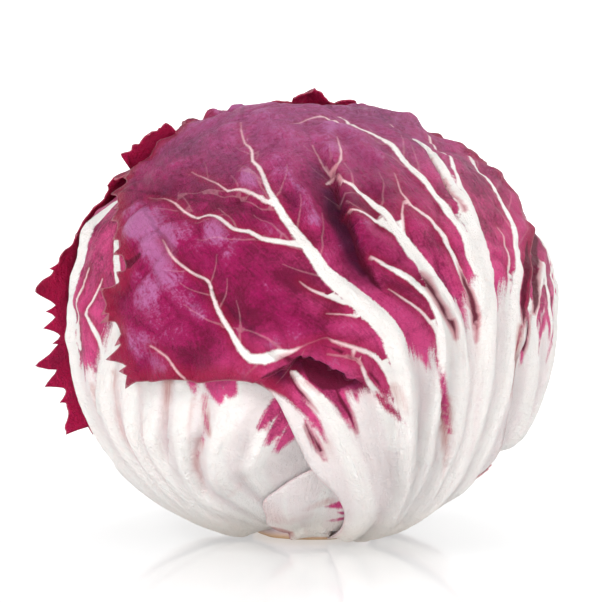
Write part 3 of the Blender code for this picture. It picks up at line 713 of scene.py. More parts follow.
def leaf_tissue(name, lit_rosiness):
    """Waxy leaf: white fleshy ribs and base, and a magenta blade that meets the white in fine streaks."""
    leaf = Finish(name)
    place = leaf.place()
    place_right, _, level = leaf.node("SeparateXYZ", place).outputs
    grain = leaf.field("grain", "Vector")
    vein_half = leaf.field("vein_half")
    pale_edge = leaf.field("pale_edge")
    margin = leaf.field("from_margin")
    fold = leaf.field("fold")

    # Four noises are drawn out along the ribs, and six are alike in every direction.
    streaks = leaf.noise(leaf.scaled(grain, (1.1, 0.09, 0.0)), 1.0, 3.0, 0.6)
    tongues = leaf.noise(leaf.scaled(grain, (0.24, 0.022, 0.0)), 1.0, 2.0)
    fibres = leaf.noise(leaf.scaled(grain, (0.8, 0.16, 0.0)), 1.0, 4.0, 0.65)
    threads = leaf.noise(leaf.scaled(grain, (2.2, 0.1, 0.0)), 1.0, 3.0, 0.6)
    stipple = leaf.noise(place, 2.4, 4.0, 0.75)
    clouds = leaf.noise(place, 0.07, 4.0, 0.6)
    mottle = leaf.noise(place, 0.9, 5.0, 0.7)
    frizz = leaf.noise(place, 0.9, 4.0, 0.7)
    speckle = leaf.noise(place, 1.9, 3.0, 0.7)
    wrinkles = leaf.noise(place, 1.3, 6.0, 0.68)

    # Where the leaf is pale: below the pale line and on the veins, but for the stains.
    pushed = leaf.shaken(pale_edge, (tongues, 5.0), (streaks, 4.4), (stipple, 4.2))
    base_white = leaf.step(pushed, -1.3, 1.0)
    ragged = leaf.math("MULTIPLY_ADD", vein_half, 0.45, 0.25)
    fringe = leaf.times(leaf.math("SUBTRACT", frizz, 0.5), ragged)
    vein_white = leaf.step(leaf.math("ADD", leaf.field("vein_edge"), fringe), -0.3, 0.26)
    faint = leaf.step(vein_half, -0.08, 0.32)
    stain = leaf.step(leaf.shaken(leaf.field("stain_edge"), (streaks, 1.3), (stipple, 1.5)), -0.65, 0.6)
    pale = leaf.math("MAXIMUM", base_white, leaf.times(vein_white, faint))
    pale = leaf.times(pale, leaf.math("SUBTRACT", 1.0, stain))

    # The coloured blade, from painted violet shade through wine red and magenta to a painted lilac sheen.
    # Its tone varies at random, and is also lighter where the relief bulges and darker in hollows: painted
    # light and shade.
    tone_and_relief_light = leaf.math("MULTIPLY_ADD", leaf.field("bulge"), 0.17, leaf.math("SUBTRACT", clouds, 0.02))
    tone_and_relief_light = leaf.shaken(tone_and_relief_light, (wrinkles, 0.40), (mottle, 0.24), (fibres, 0.38), (speckle, 0.30))
    lit = leaf.step(tone_and_relief_light, 0.2, 0.6)
    by_rib = leaf.math("MULTIPLY_ADD", leaf.step(tone_and_relief_light, 0.30, 0.66), 0.85, 0.15)
    near_white = leaf.times(leaf.step(pale_edge, -16.0, -1.0), leaf.step(tone_and_relief_light, 0.08, 0.55))
    deep = leaf.shaken(fold, (clouds, 1.2))
    pucker_crease_shade = leaf.step(leaf.field("pucker"), 0.3, 0.0)
    crown = leaf.math("MULTIPLY_ADD", mottle, 1.8, -0.45)
    rim = leaf.math("MULTIPLY_ADD", mottle, 3.0, margin)
    drift = leaf.scaled(leaf.node("TexNoise", place, None, 0.35, 2.0).outputs["Color"], (3.0, 3.0, 3.0))
    bent_place = leaf.node("VectorMath", place, drift, operation="ADD").outputs[0]
    cells = leaf.node("TexVoronoi", feature="DISTANCE_TO_EDGE")
    leaf.put(cells, {"Vector": bent_place, "Scale": 0.45})
    net = leaf.step(cells.outputs[0], 0.06, 0.0)
    blade = leaf.coats(
        SHADE_VIOLET,
        (leaf.step(tone_and_relief_light, 0.08, 0.34), DEEP_WINE),
        (leaf.step(tone_and_relief_light, 0.34, 0.62), MAGENTA),
        (leaf.times(leaf.field("by_broad"), by_rib, 0.8), ROSY),
        (leaf.times(near_white, 0.85), ROSY),
        # Rosier where the tone is lit: partly painted light.
        (leaf.times(lit, lit_rosiness), ROSY),
        # Painted lilac sheen on the lightest tone, as on the tops of the bulges.
        (leaf.times(leaf.step(tone_and_relief_light, 0.60, 0.84), 0.9), PAINTED_SHEEN_LILAC),
        (leaf.times(leaf.step(deep, -0.6, -2.3), 0.94), SHADE_VIOLET),
        (leaf.times(leaf.field("by_thin"), 0.6), MARGIN_RED),
        # Painted shade in the creases between the puckered cells.
        (leaf.times(pucker_crease_shade, leaf.step(mottle, 0.35, 0.6), 0.34), DEEP_WINE),
        # Painted light: the blade is rosier on the head's right side, where its tone is lit.
        (leaf.times(leaf.step(place_right, 14.0, 46.0), lit, 0.5), ROSY),
        # Painted lilac sheen over the crown, where the top catches the light.
        (leaf.times(leaf.step(level, 80.0, 106.0), crown), PAINTED_SHEEN_LILAC),
        (leaf.times(leaf.step(leaf.field("net_edge"), -0.25, 0.15), 0.24), PINK_VEIN),
        (leaf.times(leaf.step(rim, 6.5, 2.5), 0.8), MARGIN_RED),
        (leaf.times(net, 0.2), DEEP_WINE),
    )

    # The white of the base and the broad ribs, with painted shade off their crests and in grooves, and the
    # pink of the thin veins.
    white = leaf.coats(
        WHITE_RIB,
        # Painted shade off the crests of the ribs.
        (leaf.times(leaf.step(leaf.field("crest"), 0.7, 0.0), 0.4), RIB_SHADE_AND_PINK_WHITE),
        (leaf.times(leaf.step(streaks, 0.5, 0.8), 0.3), RIB_SHADE_AND_PINK_WHITE),
        # Painted shade in the grooves of the white base.
        (leaf.times(leaf.step(fold, -0.25, -1.5), 0.35), GROOVE_SHADE_PINK),
        (leaf.times(leaf.step(level, 14.0, 0.0), 0.5), CREAM_FOOT),
    )
    vein_colour = leaf.coats(PINK_VEIN, (leaf.step(vein_half, 0.0, 0.7), WHITE_RIB))
    flush_and_shade = leaf.times(leaf.field("blush_and_shade"), leaf.math("MULTIPLY_ADD", streaks, 1.2, 0.4))
    white = leaf.coats(
        vein_colour,
        (leaf.step(pushed, -3.0, 0.0), white),
        # Faint brownish-pink streaks: partly real colour, partly painted shade along grooves.
        (leaf.times(leaf.step(flush_and_shade, 0.05, 0.85), 0.75), BROWN_PINK),
    )

    # All of it together, with the creases painted dark as shade, the paler cut of the margin and the leaf's
    # inner face.
    inner = leaf.coats(
        INNER_WINE,
        (leaf.step(pale_edge, -2.0, 14.0), RIB_SHADE_AND_PINK_WHITE),
        # Darker where the tone is low, which is partly painted shade.
        (leaf.times(leaf.step(tone_and_relief_light, 0.45, 0.2), 0.45), DEEP_WINE),
        (leaf.times(vein_white, 0.25), PINK_VEIN),
    )
    crease = leaf.shaken(leaf.field("crease_edge"), (streaks, 0.7))
    colour = leaf.coats(
        blade,
        (pale, white),
        # A red fringe of painted shade round the creases on the pale parts.
        (leaf.times(leaf.step(crease, -1.5, -0.5), pale, 0.62), CREASE_SHADE_RED),
        # Painted shade along the creases.
        (leaf.times(leaf.step(crease, -0.65, 0.0), 0.92), CREASE_SHADE_WINE),
        (leaf.times(leaf.step(margin, 0.4, 0.05), 0.3), PINK_VEIN),
        (leaf.field("inner_face"), inner),
    )
    relief = leaf.math("MULTIPLY_ADD", threads, leaf.times(pale, 0.6), wrinkles)
    relief = leaf.math("MULTIPLY_ADD", fibres, leaf.math("SUBTRACT", 1.0, pale), relief)
    relief = leaf.math("MULTIPLY_ADD", net, -0.10, relief)
    roughness = leaf.math("MULTIPLY_ADD", pale, 0.08, leaf.math("MULTIPLY_ADD", mottle, 0.24, 0.24))
    leaf.put(leaf.shader, {
        "Base Color": colour,
        "Roughness": roughness,
        "Specular IOR Level": 0.11,
        "Sheen Weight": 0.04,
        "Sheen Roughness": 0.45,
        "Sheen Tint": (0.80, 0.42, 0.62, 1.0),
        "Subsurface Weight": 0.12,
        "Subsurface Radius": (1.0, 0.55, 0.5),
        "Subsurface Scale": 0.0015,
        "Normal": leaf.bump(relief, 0.0013),
    })
    return leaf.material


leaf_finish = leaf_tissue("radicchio leaf", 0.0)


def dress(piece, node, finish=None):
    """Gives a piece its finish and sets it in the place of its solid."""
    piece.data.materials.append(finish or leaf_finish)
    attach(piece, "root")
    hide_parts(node)


back_leaf = lay_out(
    (176, 2),
    ((124, -60), (122, -40), (124, -15), (128, 10), (132, 35), (138, 55), (152, 72), (-178, 82), (-158, 84),
     (-150, 76), (-140, 60), (-134, 40), (-130, 15), (-130, -15), (-133, -40), (-136, -60),
     *foot(-138, -232)),
    toothed=((0, 15),), tooth_height=1.4, seed=17,
)
BACK_PALE_LINE = frayed(
    ((105, 6), (125, -8), (140, 0), (155, 9), (175, 12), (195, 7), (210, -2), (230, -10), (250, 4)),
    13.0, seed=21,
)
dress(
    grow_leaf("back_leaf", back_leaf, fan_of_ribs(175, 38, 8, 76, 2.1, drift=2.0, seed=31), BACK_PALE_LINE,
              lifts=((((160, 80), (180, 82), (-160, 79)), 1.6, 9.0),), seed=3),
    "leaf_back",
)


# The base leaf on the right is a short outer leaf, broken off low. It grows from the stem over the wrapping
# leaf and the right leaf, and only its pink margin shows from the front.
base_right_leaf = lay_out(
    (88, -58),
    ((72, -68), (69, -60), (65.4, -54), (64.6, -50), (67.4, -46.6), (74, -44.4), (83, -43.6), (92, -44),
     (102, -46), (111, -49), (117, -58), (118, -68), *foot(116, 76)),
    toothed=((4, 9),), tooth_height=1.0, seed=16,
)
BASE_RIGHT_RIBS = (
    ((74, -72, 1.8), (72, -60, 1.6), (70, -48, 1.0)),
    ((88, -72, 2.0), (88, -58, 1.8), (88, -45, 1.0)),
    ((102, -72, 1.8), (104, -60, 1.6), (106, -50, 1.0)),
)
dress(
    grow_leaf("base_leaf_right", base_right_leaf, BASE_RIGHT_RIBS,
              ((40, -44), (62, -42), (75, -39), (90, -40), (105, -42), (120, -46)),
              inset=2.2,
              blushes_and_groove_shade=(((70, -62, 1.2, 0.3), (64, -51, 1.6, 0.7), (65, -45, 2.2, 0.9), (76, -42, 2.4, 0.9),
                        (92, -43, 2.4, 0.7)),), seed=4),
    "leaf_base_right",
)


# The wrapping leaf is the largest. It rises from the stem on the right with broad white ribs, runs over the
# crown to the left, and its tip hangs down there as a flap with a sharply toothed margin.
wrap_leaf = lay_out(
    (14, 22),
    ((12, -66), (12, -58), (10, -48), (6, -40), (0, -32), (-3, -25), (-6, -17),
     (-9, -11), (-14, -8), (-20, -8.2), (-26, -9), (-32, -8.6), (-38, -9.6),
     (-43, -9.6), (-43.6, -6), (-44.4, -1.8), (-47.6, 2.2), (-50.4, 5.6), (-48.2, 12), (-47.2, 16), (-50, 20),
     (-55, 24.5), (-59.5, 29.5), (-66, 33.5), (-73, 38.5), (-77, 43), (-79, 50), (-81, 56), (-91, 60),
     (-112, 63), (-135, 63), (-160, 65), (175, 66), (150, 64), (128, 61), (108, 57),
     (92, 50), (84, 42), (78, 34), (70, 25), (62, 17), (58, 9), (56, 0), (53, -8),
     (54, -18), (57, -30), (60, -42), (62, -55), (62, -66), *foot(60, 13)),
    toothed=((27, 37),), tooth_height=2.0, seed=15,
    spikes=((-46.6, -12.2, 2.6), (-46.6, -8.0, 1.5), (-50.8, -6.0, 3.2), (-47.4, -3.0, 1.2),
            (-55.6, -0.4, 4.2), (-51.4, 3.0, 1.5), (-54.8, 9.4, 3.8), (-51.0, 14.5, 1.8), (-52.6, 18.6, 2.2),
            (-56.2, 22.6, 2.2), (-62.0, 27.6, 3.0), (-65.0, 31.0, 1.4), (-72.4, 34.4, 3.2),
            (-77.5, 40.0, 1.8), (-82.8, 45.6, 3.0), (-82.0, 52.0, 1.6), (-86.0, 57.0, 2.4),
            (-96.0, 64.0, 3.0), (-112.0, 67.5, 3.2)),
)
WRAP_RIBS = (
    ((34, -72, 3.4), (30, -55, 3.2), (27, -40, 3.0), (24, -28, 2.9), (22, -17, 2.7), (20, -7, 2.5),
     (17, 1, 2.6), (13, 6.5, 2.7), (8, 12, 2.4), (3, 17, 1.7), (0, 22, 1.4), (-4, 28, 1.15), (-8.5, 34, 0.85),
     (-13, 41, 0.55), (-17, 47, 0.45), (-21, 50, 0.36), (-24, 54.5, 0.3), (-30, 58, 0.22), (-36, 62, 0.16),
     (-42, 65.5, 0.1)),
    ((39, -72, 3.0), (37, -50, 2.8), (36, -30, 2.8), (35, -15, 2.8), (34.5, -5, 2.6), (33, 3, 2.2),
     (31, 9, 1.9), (28, 14.5, 1.7), (25, 20, 1.6), (22, 26, 1.5), (20, 31, 1.1), (18, 35, 0.9), (15, 39, 0.7),
     (12, 41.5, 0.5), (9, 43, 0.3), (8, 45, 0.25), (6, 48, 0.2), (3, 52, 0.15), (0, 57, 0.12)),
    ((44, -72, 3.2), (43, -45, 3.2), (42, -20, 3.4), (42, -5, 3.4), (42.5, 8, 3.2), (43, 18, 3.0),
     (44, 28, 2.8), (45, 36, 2.5), (46, 42, 2.2), (48, 48, 1.7), (51, 54, 1.2), (54, 60, 0.7), (57, 64, 0.5),
     (62, 69, 0.25)),
    ((41, 8, 1.6), (41, 12, 1.6), (40.5, 20, 1.5), (39.5, 27, 1.3), (38, 34, 1.0), (36.5, 41, 0.8),
     (35, 47, 0.8), (34.5, 52, 0.75), (33.5, 58, 0.6), (31, 62, 0.5), (26, 64, 0.5), (24.5, 68, 0.5),
     (24, 75, 0.4)),
    ((53, -72, 3.0), (50, -45, 3.0), (49, -15, 3.0), (50, -3, 2.6), (51.5, 5, 2.1), (54, 12, 1.5),
     (56.5, 18, 1.3), (59, 24, 0.9), (62, 31, 0.8), (66, 38, 0.75), (70, 43, 0.75), (76, 47, 0.6),
     (84, 50, 0.4)),
    ((20, -68, 2.8), (18, -52, 2.8), (14, -40, 2.6), (9.6, -28.6, 2.3), (7.6, -24, 2.1), (5, -17.4, 1.9),
     (1.2, -12.4, 1.7), (-2.4, -9, 1.4), (-4.4, -7.0, 0.9)),
    ((31, -55, 2.0), (30, -35, 2.0), (29, -20, 2.0), (30, -10, 1.8), (30, -2, 1.3), (29, 5, 1.1),
     (27, 10, 1.0), (24, 13.5, 0.8), (20, 16.5, 0.7), (16, 19.5, 0.45), (13.5, 21, 0.25)),
)
WRAP_VEINS = (
    ((-9, 35.5, 0.45), (-13, 37, 0.45), (-20, 40, 0.35), (-26, 41, 0.3), (-30, 42.5, 0.2), (-43, 46, 0.1)),
    ((-1, 24, 0.6), (-6, 25, 0.6), (-12, 26, 0.55), (-16, 28, 0.5), (-20, 28.5, 0.45), (-24, 31, 0.45),
     (-28, 32, 0.4), (-31, 31.5, 0.35), (-36, 33, 0.3), (-41, 35.5, 0.25), (-46, 36.5, 0.15),
     (-52, 36, 0.08)),
    ((3, 0.3, 0.04), (-2, -1, 0.06), (-5, -2.2, 0.4), (-7.4, -2.6, 0.95), (-10.4, -3.5, 1.05),
     (-13.2, -3.5, 0.85), (-15.8, -1.6, 0.65), (-17.8, 1.6, 0.52), (-20.6, 6, 0.46), (-23, 11, 0.4),
     (-24.5, 14.5, 0.36), (-28, 16, 0.3), (-33, 19, 0.28), (-36, 22, 0.2), (-38, 24, 0.12)),
    ((24, -30, 1.6), (21, -18, 1.3), (18, -9, 1.0), (14, -3.5, 0.55), (9, -1.5, 0.32), (3, 0, 0.2)),
    ((20, -25, 1.2), (16, -14, 0.9), (12, -8, 0.5), (10, -4, 0.25), (7, -3, 0.16), (3, -2.5, 0.06)),
    ((10, 8, 0.8), (5, 10.3, 0.5), (0, 12.5, 0.3), (-3, 15, 0.12)),
    ((13, 4, 0.35), (8, 6, 0.25), (3, 6.5, 0.12)),
    ((22, 25.5, 0.7), (19, 29, 0.7), (15, 31.5, 0.5), (12, 33, 0.4), (9.5, 33.8, 0.25)),
    ((23, 28, 0.35), (24, 33, 0.25), (25.5, 36.5, 0.15)),
    ((38, 8, 0.8), (36, 15, 0.7), (34.5, 22, 0.6), (33, 27.5, 0.5), (31, 30.5, 0.4), (27.5, 35.5, 0.3),
     (26.5, 40, 0.2), (27, 46, 0.1)),
    ((29, -4, 0.7), (28, 1, 0.5), (25, 5.5, 0.4), (21, 9.5, 0.3), (17, 12.5, 0.15)),
    ((46, 30, 0.7), (47.5, 34, 0.7), (50, 40, 0.7), (53, 44.5, 0.8), (58, 50, 0.5), (65, 55.5, 0.4),
     (74, 59, 0.35), (85, 62, 0.25)),
    ((48.5, 5, 0.7), (50, 10, 0.5), (52, 16, 0.35), (53.5, 22, 0.25), (54, 27, 0.12)),
    ((24, 64, 0.4), (18, 68, 0.35), (10, 70.5, 0.3), (0, 70, 0.2), (-12, 66, 0.12)),
    ((4.5, 45, 0.25), (9.5, 50, 0.25), (10, 55, 0.2), (11, 60, 0.12)),
    ((-36, -2, 0.15), (-32, -4, 0.22), (-30, -7, 0.22), (-28.5, -9, 0.18)),
)
WRAP_PALE_LINE = (
    (-30, -24), (-16, -14), (-11.2, -10), (-7, -11.4), (-3, -11), (0, -12), (2, -13), (4.8, -13.6),
    (8, -12.4), (9.4, -9.4), (11, -10.2), (13.2, -10.6), (15, -11.4), (18.4, -12.6), (19.4, -8), (20.6, -3.6),
    (22.4, -2.8),
    (24.5, -4.4), (26.4, -5.8), (26.8, -3.2), (28.2, -5.6), (29.2, -6.4), (29.6, 0.6), (30.1, -1.8), (31, 3),
    (32.6, 8), (34.8, 8.6), (36, 6), (37.4, 12), (40, 14), (43, 12), (44.6, 9.5), (45.6, 4.8), (47, 9),
    (49, 12.4), (51, 8.2), (52.4, 11), (54, 4), (56, -1), (62, -6),
)
WRAP_STAINS = (
    ((-9.4, -7.8, 2.2), (-6.2, -9.6, 2.0), (-3.4, -12.8, 1.4), (-0.6, -16.0, 1.1), (1.6, -19.4, 0.8),
     (3.2, -23.2, 0.2)),
    ((-1.4, -18.2, 0.4), (0.0, -22.0, 0.6), (1.4, -25.4, 0.6), (3.0, -28.4, 0.1)),
    ((-7.0, -5.8, 0.4), (-4.0, -9.2, 0.7), (-0.8, -13.0, 0.2)),
    # This one colours the shaded pocket under the pleat: painted shade.
    ((-1.6, -5.0, 1.0), (1.2, -6.6, 2.4), (4.0, -7.4, 2.6), (7.0, -8.0, 2.4), (10.4, -9.0, 1.6)),
    ((3.8, -8.4, 1.4), (5.4, -11.4, 1.8), (7.2, -15.0, 1.5), (9.0, -18.4, 0.9), (10.4, -22.2, 0.1)),
    ((7.6, -8.0, 1.6), (9.6, -10.2, 1.0), (10.0, -13.0, 0.2)),
    ((14.4, -11.4, 0.5), (16.6, -13.8, 1.0), (18.6, -15.8, 0.8), (20.6, -18.2, 0.1)),
    ((29.2, -5.8, 0.2), (30.0, -9.0, 0.8), (31.4, -13.8, 0.9), (32.8, -18.8, 0.5), (34.0, -22.4, 0.1)),
    ((53.6, -0.2, 0.4), (52.4, -3.4, 0.6), (51.8, -7.6, 0.4), (52.4, -11.0, 0.1)),
    ((23.6, -2, 0.9), (25.2, -4.2, 0.5), (26.8, -6.4, 0.1)),
    ((34.8, 8, 0.6), (35.6, 4, 0.4), (36.6, 0, 0.1)),
)
# Pressed-in creases, painted dark as the shade in them along ribs and folds and in the pocket under the
# pleat.
WRAP_CREASES = (
    ((25.4, 16.4, -0.2), (26.4, 14.6, 0.2), (28.4, 9.8, 0.2), (30.4, 5.8, 0.2), (31.6, 3.0, 0.2),
     (32.6, -0.6, -0.4)),
    ((36.0, 19, -0.3), (36.3, 15.6, 0.1), (36.6, 12.4, 0.25), (37.6, 8.8, 0.3), (38.5, 3.4, 0.3),
     (38.9, -1.6, -0.4)),
    ((-2.2, -4.2, 0.4), (0.4, -6.4, 1.9), (3.0, -7.8, 2.4), (5.6, -8.6, 1.6), (8.6, -8.8, 0.5)),
    ((-11.2, -7.4, -0.2), (-9.4, -6.6, 0.2), (-6.6, -5.5, 0.3), (-4.0, -4.2, 0.2), (-2.0, -4.2, 0.1)),
    ((-7.4, -3.4, -0.3), (-5.4, -3.3, 0.1), (-3.6, -3.9, 0.0)),
    ((5.2, -10.4, -0.2), (6.4, -12.8, 0.15), (8.4, -16.2, 0.1), (10.4, -21.2, -0.5)),
    ((-5.6, -6.8, -0.2), (-3.4, -9.8, 0.0), (-1.0, -12.8, -0.1), (0.8, -15.4, -0.4)),
    ((-1.6, -18.6, -0.3), (-0.2, -21.4, 0.1), (1.8, -25.4, 0.0), (3.2, -28.8, -0.5)),
    ((6.2, 53, -0.4), (7.2, 47, 0.1), (7.8, 40, 0.0), (9.0, 33, 0.15), (10.6, 26, 0.05), (12.4, 20, 0.35),
     (14.4, 14.5, 0.25), (17.0, 10.8, -0.3)),
    ((53, 64, -0.4), (49, 57, 0.0), (45, 48, 0.0), (43.4, 40, -0.1), (42.8, 32, -0.4)),
    ((64, 21.6, -0.2), (60, 16.6, 0.6), (56.6, 10.4, 0.7), (55, 4, 0.5), (54.4, 0, -0.3)),
    ((10.2, -4.6, -0.3), (8.6, -3.2, 0.0), (4.6, -1.6, -0.1), (2, -1.0, -0.4)),
    ((12.6, -6.6, -0.1), (14.4, -8.6, 0.0), (15.4, -10.0, -0.4)),
    ((-43.6, 19.6, 0.2), (-46.4, 16.8, 0.9), (-49.6, 16.0, 0.3)),
)
# Faint brownish-pink streaks along grooves and creases, partly painted shade.
WRAP_BLUSHES_AND_SHADE = (
    ((31.4, -13.8, 1.4, 0.8), (32.8, -20, 1.1, 0.8), (34.0, -27, 0.9, 0.5), (37.0, -36, 0.7, 0.2)),
    ((31.2, 6.8, 0.5, 0.2), (32.2, 2.6, 0.8, 0.45), (33.0, -2.5, 0.8, 0.25), (33.4, -9, 0.6, 0.1)),
    ((36.0, 16.0, 0.4, 0.2), (37.8, 8.8, 0.7, 0.45), (39.2, 2.4, 0.8, 0.4), (39.4, -8.0, 0.6, 0.15)),
    ((52.4, -1.0, 1.6, 0.8), (52.0, -8.0, 1.3, 0.8), (53.0, -16.0, 1.0, 0.2)),
    ((18, -10, 1.6, 0.5), (21, -15, 1.6, 0.3)),
    ((3.2, -23.2, 1.4, 0.4), (5.0, -29.0, 1.2, 0.15)),
)
WRAP_FOLDS = (
    (((16, 12), (13.6, 18), (11.4, 24), (10, 31), (8.6, 38), (7.4, 46), (4, 54)), -3.3, 9.0, 1.2, 5.0),
    (((43, 34), (42.5, 42), (45, 49), (48.5, 58), (57, 66)), 0.8, 4.0, -1.2, 2.6),
    (((-60, 55), (-42, 62), (-30, 67), (-10, 69), (10, 72), (24, 75)), 1.0, 8.0, 1.0, 8.0),
    (((-12, -8), (-7.2, -6.0), (-3.4, -3.3), (-1.5, -2.9), (1.1, -3.9), (5.4, -5.9), (8.4, -7.4),
      (12.4, -9.6)), 1.1, 5.0, -3.8, 6.5),
    (((-53, -1), (-44, 0), (-34, 0), (-24, -1.5), (-14, -4)), 1.8, 10.0, 1.8, 8.0),
    (((-28, -9.5), (-27.5, -6), (-26, -1)), -1.2, 2.8, -1.2, 2.8),
    (((44, -34), (42, -24), (40.5, -12), (40, -3)), -0.9, 2.6, -0.9, 2.6),
    (((38, -38), (35, -27), (32, -17), (30, -9), (28, -2)), -1.4, 2.4, -1.0, 3.2),
    (((-24, 42), (-29, 50), (-34, 62)), -1.2, 5.0, -1.2, 5.0),
    (((-22, 3), (-27, 10), (-33, 17)), -1.2, 5.0, -0.8, 3.0),
    (((-3, 27), (-5, 36), (-2, 46)), -1.2, 4.0, -1.2, 4.0),
    (((3, -28.4), (1.4, -25.4), (0, -22), (-1.4, -18)), -0.6, 1.6, 0.5, 2.0),
    (((37, -6), (36, 4), (34, 12), (30, 20)), -0.9, 3.0, 0.2, 2.0),
    (((26, -28), (26, -16), (23.5, -4), (19, 6)), -0.8, 2.6, -0.8, 2.6),
    (((12, -24), (14, -14), (9, -5)), -0.5, 3.0, -0.5, 3.0),
    (((52, -16), (51.5, -8), (52, -2)), -0.4, 1.6, -1.4, 2.6),
)
WRAP_SWELLS = (
    (((-45.8, 26), (-38, 19), (-36.2, 8.4), (-33, 1.4)), 1.5, 12.0),
    (((-6.4, 44.8), (-2.2, 37.8), (0.8, 31.2)), 1.5, 3.6),
    (((10.2, 66), (9.2, 59.8), (8.6, 52.4)), 1.1, 3.2),
    (((11.2, 45), (11.6, 39.2), (12.4, 33.2), (14.4, 26.0)), 0.9, 3.0),
    (((17.2, 64.6), (20.8, 58.6), (23.0, 52.6)), 1.1, 4.0),
    (((-32, 38.4), (-25.4, 30.6), (-20.4, 22.8)), 1.0, 5.0),
    (((-18, 62.6), (-5.6, 59.8)), 1.0, 6.0),
    (((-27.8, 9.2), (-22, 4.8)), 0.9, 4.5),
    (((-35.4, -3.4), (-29.6, -6.4)), 0.7, 4.0),
    (((-14.6, 2), (-10.6, 0)), 0.7, 3.5),
    (((-80, 62), (-45, 70), (-10, 75)), 1.0, 9.0),
    (((-21.2, 46.6), (-15.8, 37.6)), 0.9, 3.6),
    (((-20, 19.6), (-11.4, 15.2), (-5, 10)), 0.8, 4.0),
    (((-60, 48), (-52, 44)), 1.0, 8.0),
    (((-47.6, 40), (-34.4, 37.2), (-23.2, 35)), -1.0, 6.0),
    (((-19, 37.4), (-7, 30.2), (-3.2, 26.8)), -0.7, 3.5),
    (((-46.2, 20.6), (-41.6, 17.2)), -1.2, 4.0),
    (((66, 62), (84, 58), (104, 58)), -2.2, 13.0),
    (((74, 46), (90, 46)), -0.8, 9.0),
    (((-96.4, 60.0), (-97.4, 61.6)), 1.7, 2.6),
    (((-98.4, 65.4), (-99.4, 67.0)), 1.7, 2.2),
    (((-101.0, 71.4), (-102.0, 72.8)), 1.4, 2.0),
    (((-109.0, 78.2), (-111.0, 79.4)), 1.2, 2.0),
    (((100, 81), (104, 79)), 1.2, 3.0),
    (((88, 68), (92, 66)), 1.4, 3.4),
)
FLAP_LIP = (((-12, -8), (-20, -8.5), (-36, -9.5), (-48, -12.5), (-51, -2), (-50, 12), (-52, 22)), 0.9, 12.0)
dress(
    grow_leaf("wrapping_leaf", wrap_leaf, WRAP_RIBS, WRAP_PALE_LINE, veins=WRAP_VEINS, folds=WRAP_FOLDS,
              swells=WRAP_SWELLS, lifts=(FLAP_LIP,), stains=WRAP_STAINS, blushes_and_groove_shade=WRAP_BLUSHES_AND_SHADE,
              creases=WRAP_CREASES, under=(back_leaf, base_right_leaf), seed=5, branching=False,
              thin=WRAP_VEINS[:3] + (WRAP_RIBS[0][8:], WRAP_RIBS[1][9:], WRAP_RIBS[3][5:], WRAP_RIBS[4][6:])),
    "leaf_wrap",
)


# The base leaf at the front is a short remnant with a brownish tip. It lies on the left leaf, and the
# wrapping leaf's margin lies on it.
base_front_leaf = lay_out(
    (0, -56),
    ((-14, -71), (-18.5, -65), (-19.5, -60), (-17, -53), (-15.4, -45.5), (-9.2, -40), (-1, -35.5), (8, -32),
     (16, -35), (21, -45), (23, -60), *foot(23, -10)),
    seed=14,
)
dress(
    grow_leaf("base_leaf_front", base_front_leaf,
              (((2, -73, 1.8), (2, -62, 1.6), (3, -50, 1.2), (5, -40, 0.7), (6, -31, 0.3)),
               ((-8, -72, 1.2), (-9, -62, 1.0), (-9, -50, 0.6), (-8.4, -43, 0.3), (-8, -36, 0.15))),
              ((-20, -30), (10, -20), (30, -20)),
              stains=(((13.5, -49.0, 0.8), (10, -50.0, 1.3), (5.6, -51.5, 0.6)),
                      ((13.8, -53, 1.2), (10.4, -53.5, 0.7)),
                      ((14, -56, 1.0), (11, -58, 0.7), (7.0, -61.5, 0.15)),
                      # This thin one along the bottom edge paints the shade under it.
                      ((-17, -68, 0.3), (-14, -71.5, 0.5), (-6, -74, 0.3))),
              blushes_and_groove_shade=(((-15, -47, 3.0, 0.25), (-13, -56, 4.0, 0.3), (-2, -56, 3.0, 0.2)),
                       ((-15, -69, 1.6, 1.0), (-19, -63, 1.2, 1.0)),
                       ((5, -49, 2.0, 0.5), (-1, -51, 2.0, 0.3))),
              lifts=((((-14, -70), (0, -73), (14, -72)), 2.6, 9.0),
                     (((12, -70), (14, -60), (13, -50)), 1.6, 7.0)),
              inset=0.9, under=(wrap_leaf,), seed=6, branching=False),
    "leaf_base_front",
)


# The leaf behind on the left stands off the head with a deep red, sharply toothed margin, and its top corner
# curls outwards.
back_left_leaf = lay_out(
    (-128, 0),
    ((-168, -55), (-170, -30), (-170, 0), (-166, 30), (-151, 56), (-130, 68), (-106, 69), (-92, 65),
     (-86, 58), (-85, 51), (-88, 43), (-97, 37), (-100, 29), (-97, 21.5), (-91, 15), (-90.6, 8), (-91, 0),
     (-91, -12), (-91.5, -22), (-92.5, -28), (-96, -34), (-99, -44), (-99, -56), (-99, -68),
     *foot(-102, -163)),
    toothed=((2, 11),), tooth_height=2.4, seed=13,
    spikes=((-92.4, 20, 2.0), (-88.0, 14.6, 2.8), (-89.4, 9.5, 1.6), (-84.6, 4.5, 5.4), (-89.4, -0.8, 1.4),
            (-88.4, -3.8, 2.4), (-89.6, -7.2, 1.2), (-86.6, -10.9, 4.0), (-87.4, -15.8, 2.8),
            (-89.8, -20.5, 1.6), (-88.2, -27.6, 4.0), (-91.6, -31.0, 2.0), (-84.0, 43.5, 2.4),
            (-82.6, 47, 1.6), (-80.0, 51.5, 3.4), (-81.6, 56, 1.6), (-83.0, 60, 2.6)),
)
FLARED_EDGE = (((-88, -30), (-86, -24), (-85.4, -12), (-85.0, 3), (-85.6, 8), (-86.6, 12.5)), 7.6, 9.8)
CURLED_EDGE = (((-84, 42), (-81.5, 50), (-82, 58)), 7.0, 9.0)
